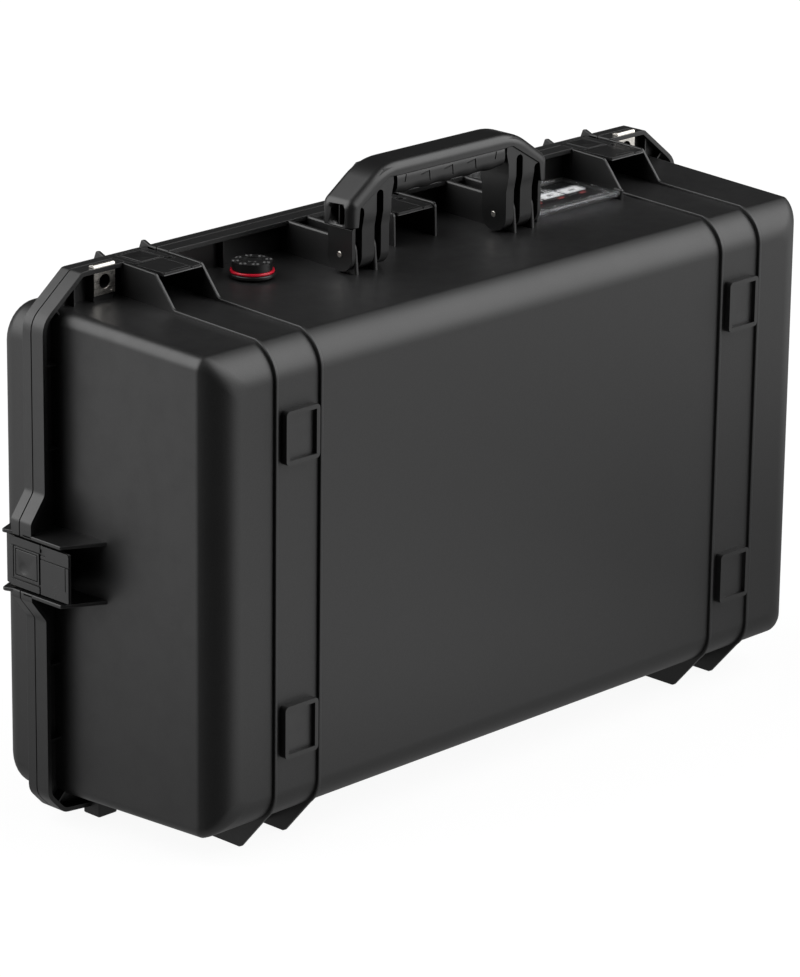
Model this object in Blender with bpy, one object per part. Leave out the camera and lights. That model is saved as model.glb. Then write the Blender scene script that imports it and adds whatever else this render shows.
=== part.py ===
"""Hard carrying case for a folding drone, standing on its hinge side.

X runs along the length, -Y is the deep base, +Y is the shallow lid and +Z is the handle side.
The origin is under the middle of the case, on the surface that it stands on. Metres.
"""
import math

import bmesh
import bpy
from mathutils import Matrix, Vector

# ---------------------------------------------------------------- driving dimensions
PARTING_Y = 0.063            # plane where the lid meets the base
RIM_GAP = 0.0004             # each rim stays this far from the parting plane
FIT_GAP = 0.0003             # air between pieces that touch
WALL = 0.0035

# base tub: sizes at its mouth, and how fast the sides draw in towards the big face
TUB_FACE_Y = -0.1108
TUB_MOUTH_Y = 0.050
TUB_HALF_X = 0.3350
TUB_TOP_Z = 0.4055
TUB_BOTTOM_Z = 0.0215
TUB_END_DRAFT = 0.0277
TUB_SIDE_DRAFT = 0.035
TUB_CORNER = 0.014
TUB_FILLET = 0.024

# lid pan
LID_FACE_Y = 0.1145
LID_HALF_X = 0.3410
LID_TOP_Z = 0.4025
LID_BOTTOM_Z = 0.0140
LID_DRAFT = 0.04
LID_CORNER = 0.026
LID_FILLET = 0.017

# flange round the mouth, the same outline on both halves
FLANGE_HALF_X = 0.3515
FLANGE_TOP_Z = 0.4315
FLANGE_BOTTOM_Z = 0.0064
FLANGE_WEB = 0.0030
FLANGE_LIP = 0.0038
BASE_FLANGE_Y = 0.050
LID_FLANGE_Y = 0.0725
GUARD_HALF_X = 0.3655        # the flange flares out to this beside the end latches
EAR_INNER_X = 0.312

# latches: the same latch sits in five channels
CHANNEL_HALF = 0.0215
CHANNEL_FLOOR = 0.0160       # channel floor under the guards' outer edge
LATCH_HALF = 0.0192
LATCH_SINK = 0.0015          # latch face under the guards' outer edge
LATCH_TIP_Y = 0.0105
LATCH_PIVOT_Y = 0.0785
LATCH_PIVOT_DEPTH = 0.0085
LATCH_PLATE = 0.0052
LATCH_DEPTH = 0.0150         # the latch's hook block reaches this far under the guards' edge
FRONT_LATCH_X = 0.24705
SIDE_LATCH_Z = 0.214
GUARD_THICK = 0.0030
LATCH_PIN_R = 0.0016
BUTTON_HALF = 0.0100
BUTTON_LOW_Y = 0.0455
BUTTON_HIGH_Y = 0.0690
BUTTON_DEPTH = 0.0045
BUTTON_COLLAR = 0.0014
BUTTON_FLOOR = 0.0014        # thickness of the latch under the button's spring

# stiffening bands round the base, each a pair of ribs with two stacking pads
RIB_X = (0.2700, 0.2241)
RIB_THICK = 0.0030
RIB_HEIGHT = 0.0025
PAD_TOP_Y = -0.1170
PAD_HALF_X = 0.0172
PAD_HALF_Z = 0.0208
PAD_CENTRES_Z = (0.3302, 0.1007)
PAD_RIM = 0.0035
PAD_RECESS = 0.0022

# handle and the bracket walls that it turns on
HANDLE_AXIS_Y = -0.0115
HANDLE_AXIS_Z = 0.4180
HANDLE_TOP_Z = 0.4858
HANDLE_HALF_Y = 0.0132
HANDLE_GRIP_HALF_Y = 0.0165
BRACKET_X = (0.0775, 0.0980)
BRACKET_THICK = 0.0040
SLOT_HALF = 0.0035
HANDLE_PIN_R = 0.0023

# hinge along the bottom
HINGE_AXIS_Z = 0.0062
HINGE_R = 0.0055
HINGE_PIN_R = 0.0015
HINGE_CENTRE_X = 0.155
KNUCKLE_WIDTH = 0.022
KNUCKLE_PITCH = 0.0226
KNUCKLE_COUNT = 5

# padlock ears
EAR_X = 0.2895
EAR_HOLE_Z = 0.4205
EAR_HOLE_R = 0.0058
EAR_HALF = 0.0100
EAR_STEP = 0.0016            # the ear's face stands this far behind the flange's
PLATE_THICK = 0.0012
PLATE_MARGIN = 0.0006        # the steel plate is this much wider than the ear on each side

# vent
VENT_X = -0.163
VENT_Y = 0.024
VENT_R = 0.0180

# card holder
CARD_LOW = (0.1142, -0.0125)
CARD_HIGH = (0.2102, 0.0480)
CARD_Z = 0.4068
CARD_BARREL_UP = 0.0021
CARD_LUG = 0.0036
CARD_NIB_R = 0.0011

# foam
FOAM_GAP = 0.0010
FLOOR_PAD = 0.025
FOAM_TOP_Y = 0.0560
LID_FOAM_Y = 0.0700
GASKET_DEPTH = 0.0040
GASKET_WIDTH = 0.0050


# ---------------------------------------------------------------- modelling tools
def material(name, colour, roughness, metallic=0.0):
    """A plain Principled material."""
    made = bpy.data.materials.new(name)
    made.use_nodes = True
    shader = made.node_tree.nodes["Principled BSDF"]
    shader.inputs["Base Color"].default_value = (*colour, 1.0)
    shader.inputs["Roughness"].default_value = roughness
    shader.inputs["Metallic"].default_value = metallic
    return made


def to_object(name, shape):
    """Turn a bmesh into an object with outward faces."""
    bmesh.ops.recalc_face_normals(shape, faces=shape.faces)
    mesh = bpy.data.meshes.new(name)
    shape.to_mesh(mesh)
    shape.free()
    piece = bpy.data.objects.new(name, mesh)
    bpy.context.scene.collection.objects.link(piece)
    return piece


def prism(outline, axis, low, high, name="prism"):
    """Extrude a flat outline along an axis: x takes (y, z) points, y takes (x, z), z takes (x, y)."""
    place = {
        "x": lambda p, q, r: (r, p, q),
        "y": lambda p, q, r: (p, r, q),
        "z": lambda p, q, r: (p, q, r),
    }[axis]
    shape = bmesh.new()
    face = shape.faces.new([shape.verts.new(place(p, q, low)) for p, q in outline])
    grown = bmesh.ops.extrude_face_region(shape, geom=[face])["geom"]
    moved = [item for item in grown if isinstance(item, bmesh.types.BMVert)]
    bmesh.ops.translate(shape, verts=moved, vec=place(0.0, 0.0, high - low))
    return to_object(name, shape)


def box(low, high, name="box"):
    """A block between two corners."""
    outline = [(low[0], low[1]), (high[0], low[1]), (high[0], high[1]), (low[0], high[1])]
    return prism(outline, "z", low[2], high[2], name)


def circle(centre, radius, sides=16, turn=0.5):
    """Points round a circle, with a flat facing each axis."""
    step = 2.0 * math.pi / sides
    return [(centre[0] + radius * math.cos((index + turn) * step),
             centre[1] + radius * math.sin((index + turn) * step)) for index in range(sides)]


def arc(centre, radius, start, end, steps):
    """Points along an arc, angles in degrees."""
    points = []
    for index in range(steps + 1):
        angle = math.radians(start + (end - start) * index / steps)
        points.append((centre[0] + radius * math.cos(angle), centre[1] + radius * math.sin(angle)))
    return points


def rounded_rectangle(low_p, high_p, low_q, high_q, radius, steps=4):
    """Outline of a rectangle with round corners."""
    points = arc((high_p - radius, low_q + radius), radius, -90, 0, steps)
    points += arc((high_p - radius, high_q - radius), radius, 0, 90, steps)
    points += arc((low_p + radius, high_q - radius), radius, 90, 180, steps)
    points += arc((low_p + radius, low_q + radius), radius, 180, 270, steps)
    return points


def inset_outline(points, distance):
    """Move every edge of an anticlockwise outline inwards by a distance."""
    moved = []
    for index, corner in enumerate(points):
        here = Vector(corner)
        before = (here - Vector(points[index - 1])).normalized()
        after = (Vector(points[(index + 1) % len(points)]) - here).normalized()
        bisector = Vector((-before.y - after.y, before.x + after.x)).normalized()
        cosine = max(bisector.dot(Vector((-after.y, after.x))), 0.35)
        moved.append(tuple(here + bisector * distance / cosine))
    return moved


def loft(rings, name="loft"):
    """A closed body through rings of the same number of points, capped at both ends."""
    shape = bmesh.new()
    loops = [[shape.verts.new(point) for point in ring] for ring in rings]
    count = len(loops[0])
    for near, far in zip(loops, loops[1:]):
        for index in range(count):
            after = (index + 1) % count
            shape.faces.new((near[index], near[after], far[after], far[index]))
    shape.faces.new(loops[0])
    shape.faces.new(loops[-1])
    return to_object(name, shape)


def boolean(target, tool, operation):
    """Apply one exact Boolean and drop the tool."""
    tool.hide_render = True
    tool.display_type = "WIRE"
    modifier = target.modifiers.new(operation, "BOOLEAN")
    modifier.operation = operation
    modifier.solver = "EXACT"
    modifier.object = tool
    bpy.context.view_layer.update()
    graph = bpy.context.evaluated_depsgraph_get()
    mesh = bpy.data.meshes.new_from_object(target.evaluated_get(graph))
    target.modifiers.clear()
    old = target.data
    target.data = mesh
    bpy.data.meshes.remove(old)
    bpy.data.objects.remove(tool)
    return target


def join(target, *tools):
    """Unite pieces with a target."""
    for tool in tools:
        boolean(target, tool, "UNION")
    return target


def cut(target, *tools):
    """Cut pieces out of a target."""
    for tool in tools:
        boolean(target, tool, "DIFFERENCE")
    return target


def finish(piece, name, look, origin=None, smooth=30.0):
    """Name a sub-part, give it its material and its shading, and put its origin on its axis."""
    piece.name = name
    piece.data.name = name
    piece.data.materials.clear()
    piece.data.materials.append(look)
    shape = bmesh.new()
    shape.from_mesh(piece.data)
    bmesh.ops.dissolve_limit(shape, angle_limit=math.radians(0.05), verts=shape.verts, edges=shape.edges)
    bmesh.ops.triangulate(shape, faces=shape.faces)
    shape.to_mesh(piece.data)
    shape.free()
    piece.data.shade_smooth()
    piece.data.set_sharp_from_angle(angle=math.radians(smooth))
    if origin is not None:
        piece.data.transform(Matrix.Translation(-Vector(origin)))
        piece.location = origin
    return piece


# ---------------------------------------------------------------- shared outlines
def tub_ring(y, inset=0.0, fillet_inset=0.0):
    """Tub outline at a depth, drawn in by the draft and by insets."""
    back = TUB_MOUTH_Y - y
    total = inset + fillet_inset
    outline = rounded_rectangle(
        -TUB_HALF_X + TUB_END_DRAFT * back + total, TUB_HALF_X - TUB_END_DRAFT * back - total,
        TUB_BOTTOM_Z + TUB_SIDE_DRAFT * back + total, TUB_TOP_Z - TUB_SIDE_DRAFT * back - total,
        max(TUB_CORNER - inset, 0.004) + fillet_inset * 0.3)
    return [(x, y, z) for x, z in outline]


def lid_ring(y, inset=0.0, fillet_inset=0.0):
    """Lid pan outline at a depth."""
    back = max(y - LID_FLANGE_Y, 0.0)
    total = inset + fillet_inset
    outline = rounded_rectangle(
        -LID_HALF_X + LID_DRAFT * back + total, LID_HALF_X - LID_DRAFT * back - total,
        LID_BOTTOM_Z + LID_DRAFT * back + total, LID_TOP_Z - LID_DRAFT * back - total,
        max(LID_CORNER - inset, 0.004))
    return [(x, y, z) for x, z in outline]


def fillet_rings(ring, face_y, radius, inset, direction, steps=5):
    """Rings round the edge between the sides and the big face."""
    rings = []
    for index in range(steps + 1):
        angle = math.radians(90.0 * index / steps)
        y = face_y - direction * radius * (1.0 - math.sin(angle))
        rings.append(ring(y, inset, radius * (1.0 - math.cos(angle))))
    return rings


def flange_outline():
    """Outline of both flanges, anticlockwise in X and Z: corners, guards and latch notches."""
    low, high = SIDE_LATCH_Z - CHANNEL_HALF, SIDE_LATCH_Z + CHANNEL_HALF
    notch_x = GUARD_HALF_X - CHANNEL_FLOOR
    notch_z = FLANGE_TOP_Z - CHANNEL_FLOOR
    right = [(0.303, FLANGE_BOTTOM_Z)]
    right += [(0.330, 0.0105), (0.344, 0.0195), (FLANGE_HALF_X, 0.0330)]
    right += [(FLANGE_HALF_X, low - 0.0245), (GUARD_HALF_X, low - 0.0060), (GUARD_HALF_X, low)]
    right += [(notch_x, low), (notch_x, high)]
    right += [(GUARD_HALF_X, high), (GUARD_HALF_X, high + 0.0125), (FLANGE_HALF_X, high + 0.0315)]
    right += arc((0.3315, 0.3880), 0.0200, 0, 50, 3)
    right += [(EAR_INNER_X, FLANGE_TOP_Z)]
    channel_low, channel_high = FRONT_LATCH_X - CHANNEL_HALF, FRONT_LATCH_X + CHANNEL_HALF
    right += [(channel_high, FLANGE_TOP_Z), (channel_high, notch_z), (channel_low, notch_z)]
    right += [(channel_low, FLANGE_TOP_Z), (CHANNEL_HALF, FLANGE_TOP_Z), (CHANNEL_HALF, notch_z)]
    left = [(-x, z) for x, z in reversed(right)]
    return right + left


def latch_channels():
    """Each latch channel: name, middle of the channel and the frame (across, outwards)."""
    across_x, up = Vector((1, 0, 0)), Vector((0, 0, 1))
    front_z = FLANGE_TOP_Z
    return [
        ("front_left", Vector((-FRONT_LATCH_X, 0, front_z)), across_x, up),
        ("front_centre", Vector((0, 0, front_z)), across_x, up),
        ("front_right", Vector((FRONT_LATCH_X, 0, front_z)), across_x, up),
        ("side_left", Vector((-GUARD_HALF_X, 0, SIDE_LATCH_Z)), up, Vector((-1, 0, 0))),
        ("side_right", Vector((GUARD_HALF_X, 0, SIDE_LATCH_Z)), -up, Vector((1, 0, 0))),
    ]


def into_channel(piece, channel):
    """Move a piece made in channel coordinates (across, along Y, outwards) to its channel."""
    _, middle, across, outwards = channel
    frame = Matrix.Identity(4)
    frame.col[0][:3] = across
    frame.col[1][:3] = (0.0, 1.0, 0.0)
    frame.col[2][:3] = outwards
    frame.translation = middle
    piece.data.transform(frame)
    if frame.determinant() < 0.0:
        piece.data.flip_normals()
    return piece


def in_channel(channel, point):
    """World place of a point given in channel coordinates."""
    _, middle, across, outwards = channel
    return middle + across * point[0] + Vector((0, point[1], 0)) + outwards * point[2]


# ---------------------------------------------------------------- base
def band_rib(x):
    """One rib round the base: latch guard, slope, top, fillet, face, fillet and foot."""
    top_back = TUB_MOUTH_Y + 0.0868
    centre_y = TUB_FACE_Y + TUB_FILLET
    top_z = TUB_TOP_Z - TUB_SIDE_DRAFT * top_back
    low_z = TUB_BOTTOM_Z + TUB_SIDE_DRAFT * top_back
    upper, lower = (centre_y, top_z - TUB_FILLET), (centre_y, low_z + TUB_FILLET)
    outer_r, inner_r = TUB_FILLET + RIB_HEIGHT, TUB_FILLET - 0.5 * WALL
    web_y = 0.5 * (TUB_MOUTH_Y + PARTING_Y)
    path = [(web_y, FLANGE_TOP_Z), (0.0152, FLANGE_TOP_Z - 0.0018), (-0.0046, 0.4056)]
    path += arc(upper, outer_r, 90, 180, 6) + arc(lower, outer_r, 180, 225, 3)
    path += [(-0.0754, 0.0), (web_y, 0.0)]
    path += [(web_y, TUB_BOTTOM_Z + 0.5 * WALL)]
    path += arc(lower, inner_r, 270, 180, 4) + arc(upper, inner_r, 180, 90, 4)
    path += [(web_y, TUB_TOP_Z - 0.5 * WALL)]
    return prism(path, "x", x - 0.5 * RIB_THICK, x + 0.5 * RIB_THICK, "band_rib")


def stacking_pad(centre_x, centre_z):
    """A raised square pad with a sunk middle."""
    outline = rounded_rectangle(centre_x - PAD_HALF_X, centre_x + PAD_HALF_X,
                                centre_z - PAD_HALF_Z, centre_z + PAD_HALF_Z, 0.003, 2)
    pad = prism(outline, "y", PAD_TOP_Y, TUB_FACE_Y + 0.5 * WALL, "pad")
    inner = rounded_rectangle(centre_x - PAD_HALF_X + PAD_RIM, centre_x + PAD_HALF_X - PAD_RIM,
                              centre_z - PAD_HALF_Z + PAD_RIM, centre_z + PAD_HALF_Z - PAD_RIM, 0.002, 2)
    return cut(pad, prism(inner, "y", PAD_TOP_Y - 0.001, PAD_TOP_Y + PAD_RECESS))


def wall_in_x(points, x, thick):
    """An upright plate across X."""
    return prism(points, "x", x - 0.5 * thick, x + 0.5 * thick, "plate")


def hinge_knuckles(for_lid):
    """Which knuckles belong to a half, as (low x, high x)."""
    spans = []
    for side in (-1.0, 1.0):
        for index in range(KNUCKLE_COUNT):
            centre = side * HINGE_CENTRE_X + (index - 0.5 * (KNUCKLE_COUNT - 1)) * KNUCKLE_PITCH
            if (index % 2 == 1) == for_lid:
                spans.append((centre - 0.5 * KNUCKLE_WIDTH, centre + 0.5 * KNUCKLE_WIDTH))
    return spans


def add_hinge_half(body, for_lid):
    """Knuckles of one half, room for the other half's, and the bore for the pin."""
    axis = (PARTING_Y, HINGE_AXIS_Z)
    for low, high in hinge_knuckles(not for_lid):
        cut(body, prism(circle(axis, HINGE_R + 0.0006), "x", low - 0.0003, high + 0.0003))
    for low, high in hinge_knuckles(for_lid):
        join(body, prism(circle(axis, HINGE_R), "x", low, high))
    for side in (-1.0, 1.0):
        reach = 0.5 * KNUCKLE_COUNT * KNUCKLE_PITCH + 0.001
        cut(body, prism(circle(axis, HINGE_PIN_R + FIT_GAP, 10), "x",
                        side * HINGE_CENTRE_X - reach, side * HINGE_CENTRE_X + reach))


def base_shell():
    """The deep half: tub, flange, bands, guards, brackets and hinge knuckles."""
    rim_y = PARTING_Y - RIM_GAP
    outer = [tub_ring(rim_y)] + fillet_rings(tub_ring, TUB_FACE_Y, TUB_FILLET, 0.0, -1)
    body = loft(outer, "base_shell")
    outline = flange_outline()
    flange = prism(outline, "y", BASE_FLANGE_Y, rim_y, "flange")
    hollow = prism(inset_outline(outline, FLANGE_LIP), "y", BASE_FLANGE_Y - 0.001, rim_y - FLANGE_WEB)
    join(body, cut(flange, hollow))

    for side in (-1.0, 1.0):
        for x in RIB_X:
            join(body, band_rib(side * x))
        for z in PAD_CENTRES_Z:
            join(body, stacking_pad(side * 0.5 * (RIB_X[0] + RIB_X[1]), z))
        add_base_foot(body, side)
        add_side_guards(body, side)
        add_ear_block(body, side)
    add_centre_channel(body)
    add_gussets(body)

    inside = [tub_ring(rim_y + 0.001, WALL)]
    inside += fillet_rings(tub_ring, TUB_FACE_Y + WALL, TUB_FILLET - WALL, WALL, -1)
    cut(body, loft(inside, "inside"))
    add_hinge_half(body, for_lid=False)
    cut(body, prism(circle((VENT_X, VENT_Y), 0.0076, 14), "z", 0.39, 0.42))
    return body


def add_base_foot(body, side):
    """The standing foot at each end of the hinge side, and the web between a band's ribs."""
    low, high = sorted((side * 0.290, side * 0.309))
    join(body, box((low, 0.0400, 0.0), (high, 0.0580, 0.0240)))
    low, high = sorted((side * RIB_X[0], side * RIB_X[1]))
    join(body, box((low, -0.0580, 0.0045), (high, -0.0550, 0.0270)))


def add_side_guards(body, side):
    """Flat plates above and below an end latch, from the flange to the tub wall."""
    outline = [(side * 0.3325, 0.0010), (side * GUARD_HALF_X, 0.0180),
               (side * GUARD_HALF_X, 0.0560), (side * 0.3325, 0.0560)]
    for edge in (-1.0, 1.0):
        near = SIDE_LATCH_Z + edge * CHANNEL_HALF
        low, high = sorted((near, near + edge * GUARD_THICK))
        join(body, prism(outline, "z", low, high))


def add_ear_block(body, side):
    """The padlock ear: a solid block with a hole through it."""
    low, high = sorted((side * (EAR_X - EAR_HALF), side * (EAR_X + EAR_HALF)))
    rim_y = PARTING_Y - RIM_GAP
    join(body, box((low, BASE_FLANGE_Y + EAR_STEP, 0.4030), (high, rim_y - 0.0010, 0.4312)))
    room = PLATE_MARGIN + FIT_GAP
    cut(body, box((low - room, BASE_FLANGE_Y - 0.001, 0.4095), (high + room, BASE_FLANGE_Y + EAR_STEP, 0.4330)))
    cut(body, prism(circle((side * EAR_X, EAR_HOLE_Z), EAR_HOLE_R), "y", 0.045, 0.065))


def add_centre_channel(body):
    """Guards beside the middle latch, bracket walls under the handle and the card ledge."""
    guard = [(0.0560, FLANGE_TOP_Z), (0.0125, FLANGE_TOP_Z - 0.0006), (0.0104, FLANGE_TOP_Z - 0.0028),
             (0.0100, 0.4020), (0.0560, 0.4038)]
    bracket = [(0.0560, FLANGE_TOP_Z), (0.0100, FLANGE_TOP_Z - 0.0010)]
    bracket += arc((-0.0180, 0.4235), 0.0060, 80, 180, 4)
    bracket += [(-0.0240, 0.4010), (0.0560, 0.4038)]
    for side in (-1.0, 1.0):
        join(body, wall_in_x(guard, side * (CHANNEL_HALF + 0.5 * GUARD_THICK), GUARD_THICK))
        for x in BRACKET_X:
            join(body, wall_in_x(bracket, side * x, BRACKET_THICK))
        pin = circle((HANDLE_AXIS_Y, HANDLE_AXIS_Z), HANDLE_PIN_R + FIT_GAP, 12)
        cut(body, prism(pin, "x", *sorted((side * 0.070, side * 0.105))))
    low_x, low_y = CARD_LOW
    high_x, high_y = CARD_HIGH
    join(body, box((low_x - 0.002, low_y + 0.004, 0.4010), (high_x + 0.002, high_y + 0.002, CARD_Z)))
    barrel = (low_y, CARD_Z + CARD_BARREL_UP)
    for inner, outer in ((low_x - FIT_GAP, low_x - CARD_LUG), (high_x + FIT_GAP, high_x + CARD_LUG)):
        low, high = sorted((inner, outer))
        lug = box((low, low_y - 0.0030, 0.4010), (high, low_y + 0.0060, CARD_Z + 0.0048))
        join(body, cut(lug, prism(circle(barrel, CARD_NIB_R + FIT_GAP, 10), "x", low - 0.001, high + 0.001)))


def add_gussets(body):
    """Small ribs in the recess between the tub wall and the flange lip."""
    rim_y = PARTING_Y - RIM_GAP
    low_y, high_y = BASE_FLANGE_Y + 0.0040, rim_y - 0.001
    half = 0.0008
    for side in (-1.0, 1.0):
        for z in (0.070, 0.130, 0.300, 0.365):
            low, high = sorted((side * 0.3330, side * 0.3490))
            join(body, box((low, low_y, z - half), (high, high_y, z + half)))
        for x in (0.060, 0.135, 0.180):
            join(body, box((side * x - half, low_y, 0.0085), (side * x + half, high_y, 0.0235)))
        join(body, box((side * 0.165 - half, low_y, 0.4040), (side * 0.165 + half, high_y, 0.4290)))
        join(body, box((side * 0.3170 - half, low_y, 0.4000), (side * 0.3170 + half, high_y, 0.4260)))


# ---------------------------------------------------------------- lid
def lid_shell():
    """The shallow half: pan, flange, latch guards, bands, gasket groove and hinge knuckles."""
    rim_y = PARTING_Y + RIM_GAP
    outer = [lid_ring(rim_y)] + fillet_rings(lid_ring, LID_FACE_Y, LID_FILLET, 0.0, 1)
    body = loft(outer, "lid_shell")
    outline = flange_outline()
    flange = prism(outline, "y", rim_y, LID_FLANGE_Y, "flange")
    hollow = prism(inset_outline(outline, FLANGE_LIP), "y", rim_y + FLANGE_WEB + 0.002, LID_FLANGE_Y + 0.001)
    join(body, cut(flange, hollow))
    for channel in latch_channels():
        add_lid_guards(body, channel)
    for side in (-1.0, 1.0):
        for x in RIB_X:
            join(body, lid_rib(side * x))
        low, high = sorted((side * (EAR_X - EAR_HALF), side * (EAR_X + EAR_HALF)))
        join(body, box((low, rim_y + 0.001, 0.3990), (high, LID_FLANGE_Y - 0.0006, 0.4306)))
        cut(body, prism(circle((side * EAR_X, EAR_HOLE_Z), EAR_HOLE_R), "y", 0.060, 0.080))
    inside = [lid_ring(rim_y - 0.001, WALL)]
    inside += fillet_rings(lid_ring, LID_FACE_Y - WALL, LID_FILLET - WALL, WALL, 1)
    cut(body, loft(inside, "inside"))
    add_hinge_half(body, for_lid=True)
    groove = prism(gasket_outline(0.0), "y", rim_y - 0.001, rim_y + GASKET_DEPTH, "groove")
    core = prism(gasket_outline(GASKET_WIDTH), "y", rim_y - 0.002, rim_y + GASKET_DEPTH + 0.001)
    return cut(body, cut(groove, core))


def gasket_outline(inset):
    """Outline of the gasket groove, round the mouth."""
    grow = 0.0055
    return rounded_rectangle(-LID_HALF_X - grow + inset, LID_HALF_X + grow - inset,
                             LID_BOTTOM_Z - 0.0010 + inset, LID_TOP_Z + grow - inset, LID_CORNER - inset, 5)


def lid_rib(x):
    """One rib across the lid, from the latch guard over the face to the hinge side."""
    centre_y = LID_FACE_Y - LID_FILLET
    back = centre_y - LID_FLANGE_Y
    upper = (centre_y, LID_TOP_Z - LID_DRAFT * back - LID_FILLET)
    lower = (centre_y, LID_BOTTOM_Z + LID_DRAFT * back + LID_FILLET)
    outer_r, inner_r = LID_FILLET + RIB_HEIGHT, LID_FILLET - 0.5 * WALL
    path = arc(lower, outer_r, -90, 0, 4) + arc(upper, outer_r, 0, 90, 4)
    path += arc(upper, inner_r, 90, 0, 3) + arc(lower, inner_r, 0, -90, 3)
    return prism(path, "x", x - 0.5 * RIB_THICK, x + 0.5 * RIB_THICK, "lid_rib")


def add_lid_guards(body, channel):
    """Two plates that hold a latch's pivot pin, made in channel coordinates."""
    root = -0.0285 if channel[0].startswith("front") else -0.0262
    plate = [(0.0655, -0.0004), (0.0800, -0.0006), (0.0850, -0.0045), (0.0925, root), (0.0655, root)]
    for edge in (-1.0, 1.0):
        middle = edge * (CHANNEL_HALF + 0.5 * GUARD_THICK)
        guard = wall_in_x(plate, middle, GUARD_THICK)
        hole = circle((LATCH_PIVOT_Y, -LATCH_PIVOT_DEPTH), LATCH_PIN_R + FIT_GAP, 10)
        cut(guard, prism(hole, "x", middle - 0.01, middle + 0.01))
        join(body, into_channel(guard, channel))


# ---------------------------------------------------------------- latches
def latch_body():
    """The lever: a plate from the pivot to the pull lip, with a window for its button."""
    face, under = -LATCH_SINK, -LATCH_SINK - LATCH_PLATE
    pivot = (LATCH_PIVOT_Y, -LATCH_PIVOT_DEPTH)
    profile = [(LATCH_TIP_Y, face - 0.0012), (LATCH_TIP_Y + 0.0015, face), (LATCH_PIVOT_Y, face)]
    profile += arc(pivot, LATCH_PIVOT_DEPTH - LATCH_SINK, 75, -90, 6)
    profile += [(0.0705, -LATCH_DEPTH), (0.0435, -LATCH_DEPTH), (0.0420, under)]
    profile += [(LATCH_TIP_Y + 0.0060, under), (LATCH_TIP_Y, under + 0.0010)]
    lever = prism(profile, "x", -LATCH_HALF, LATCH_HALF, "latch")
    gap = FIT_GAP
    window = box((-BUTTON_HALF - gap, BUTTON_LOW_Y - gap, under),
                 (BUTTON_HALF + gap, BUTTON_HIGH_Y + gap, face + 0.001))
    side = BUTTON_HALF + BUTTON_COLLAR + gap
    low_y, high_y = BUTTON_LOW_Y - BUTTON_COLLAR - gap, BUTTON_HIGH_Y + BUTTON_COLLAR + gap
    pocket = box((-side, low_y, -LATCH_DEPTH + BUTTON_FLOOR), (side, high_y, face - 0.0030))
    cut(lever, window, pocket)
    cut(lever, prism(circle(pivot, LATCH_PIN_R + FIT_GAP, 10), "x", -0.03, 0.03))
    return lever


def latch_button():
    """The square push button with its collar."""
    face = -LATCH_SINK
    under = face - BUTTON_DEPTH
    cap = box((-BUTTON_HALF, BUTTON_LOW_Y, under), (BUTTON_HALF, BUTTON_HIGH_Y, face - 0.0003))
    collar = box((-BUTTON_HALF - BUTTON_COLLAR, BUTTON_LOW_Y - BUTTON_COLLAR, under - 0.0001),
                 (BUTTON_HALF + BUTTON_COLLAR, BUTTON_HIGH_Y + BUTTON_COLLAR, face - 0.0033))
    return join(cap, collar)


def latch_spring():
    """An arched leaf under the button."""
    thick = 0.0004
    middle = 0.5 * (BUTTON_LOW_Y + BUTTON_HIGH_Y)
    peak = -LATCH_SINK - BUTTON_DEPTH - FIT_GAP
    foot = -LATCH_DEPTH + BUTTON_FLOOR + FIT_GAP + thick
    half = 0.0100
    upper, lower = [], []
    for index in range(9):
        across = -1.0 + 2.0 * index / 8
        height = foot + (peak - foot) * math.cos(0.5 * math.pi * across)
        upper.append((middle + half * across, height))
        lower.append((middle + half * across, height - thick))
    return prism(upper + lower[::-1], "x", -0.0040, 0.0040, "spring")


def latch_pin():
    """The pivot pin between the lid's guards."""
    reach = CHANNEL_HALF + GUARD_THICK
    pivot = (LATCH_PIVOT_Y, -LATCH_PIVOT_DEPTH)
    return prism(circle(pivot, LATCH_PIN_R, 10), "x", -reach, reach, "pin")


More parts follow.
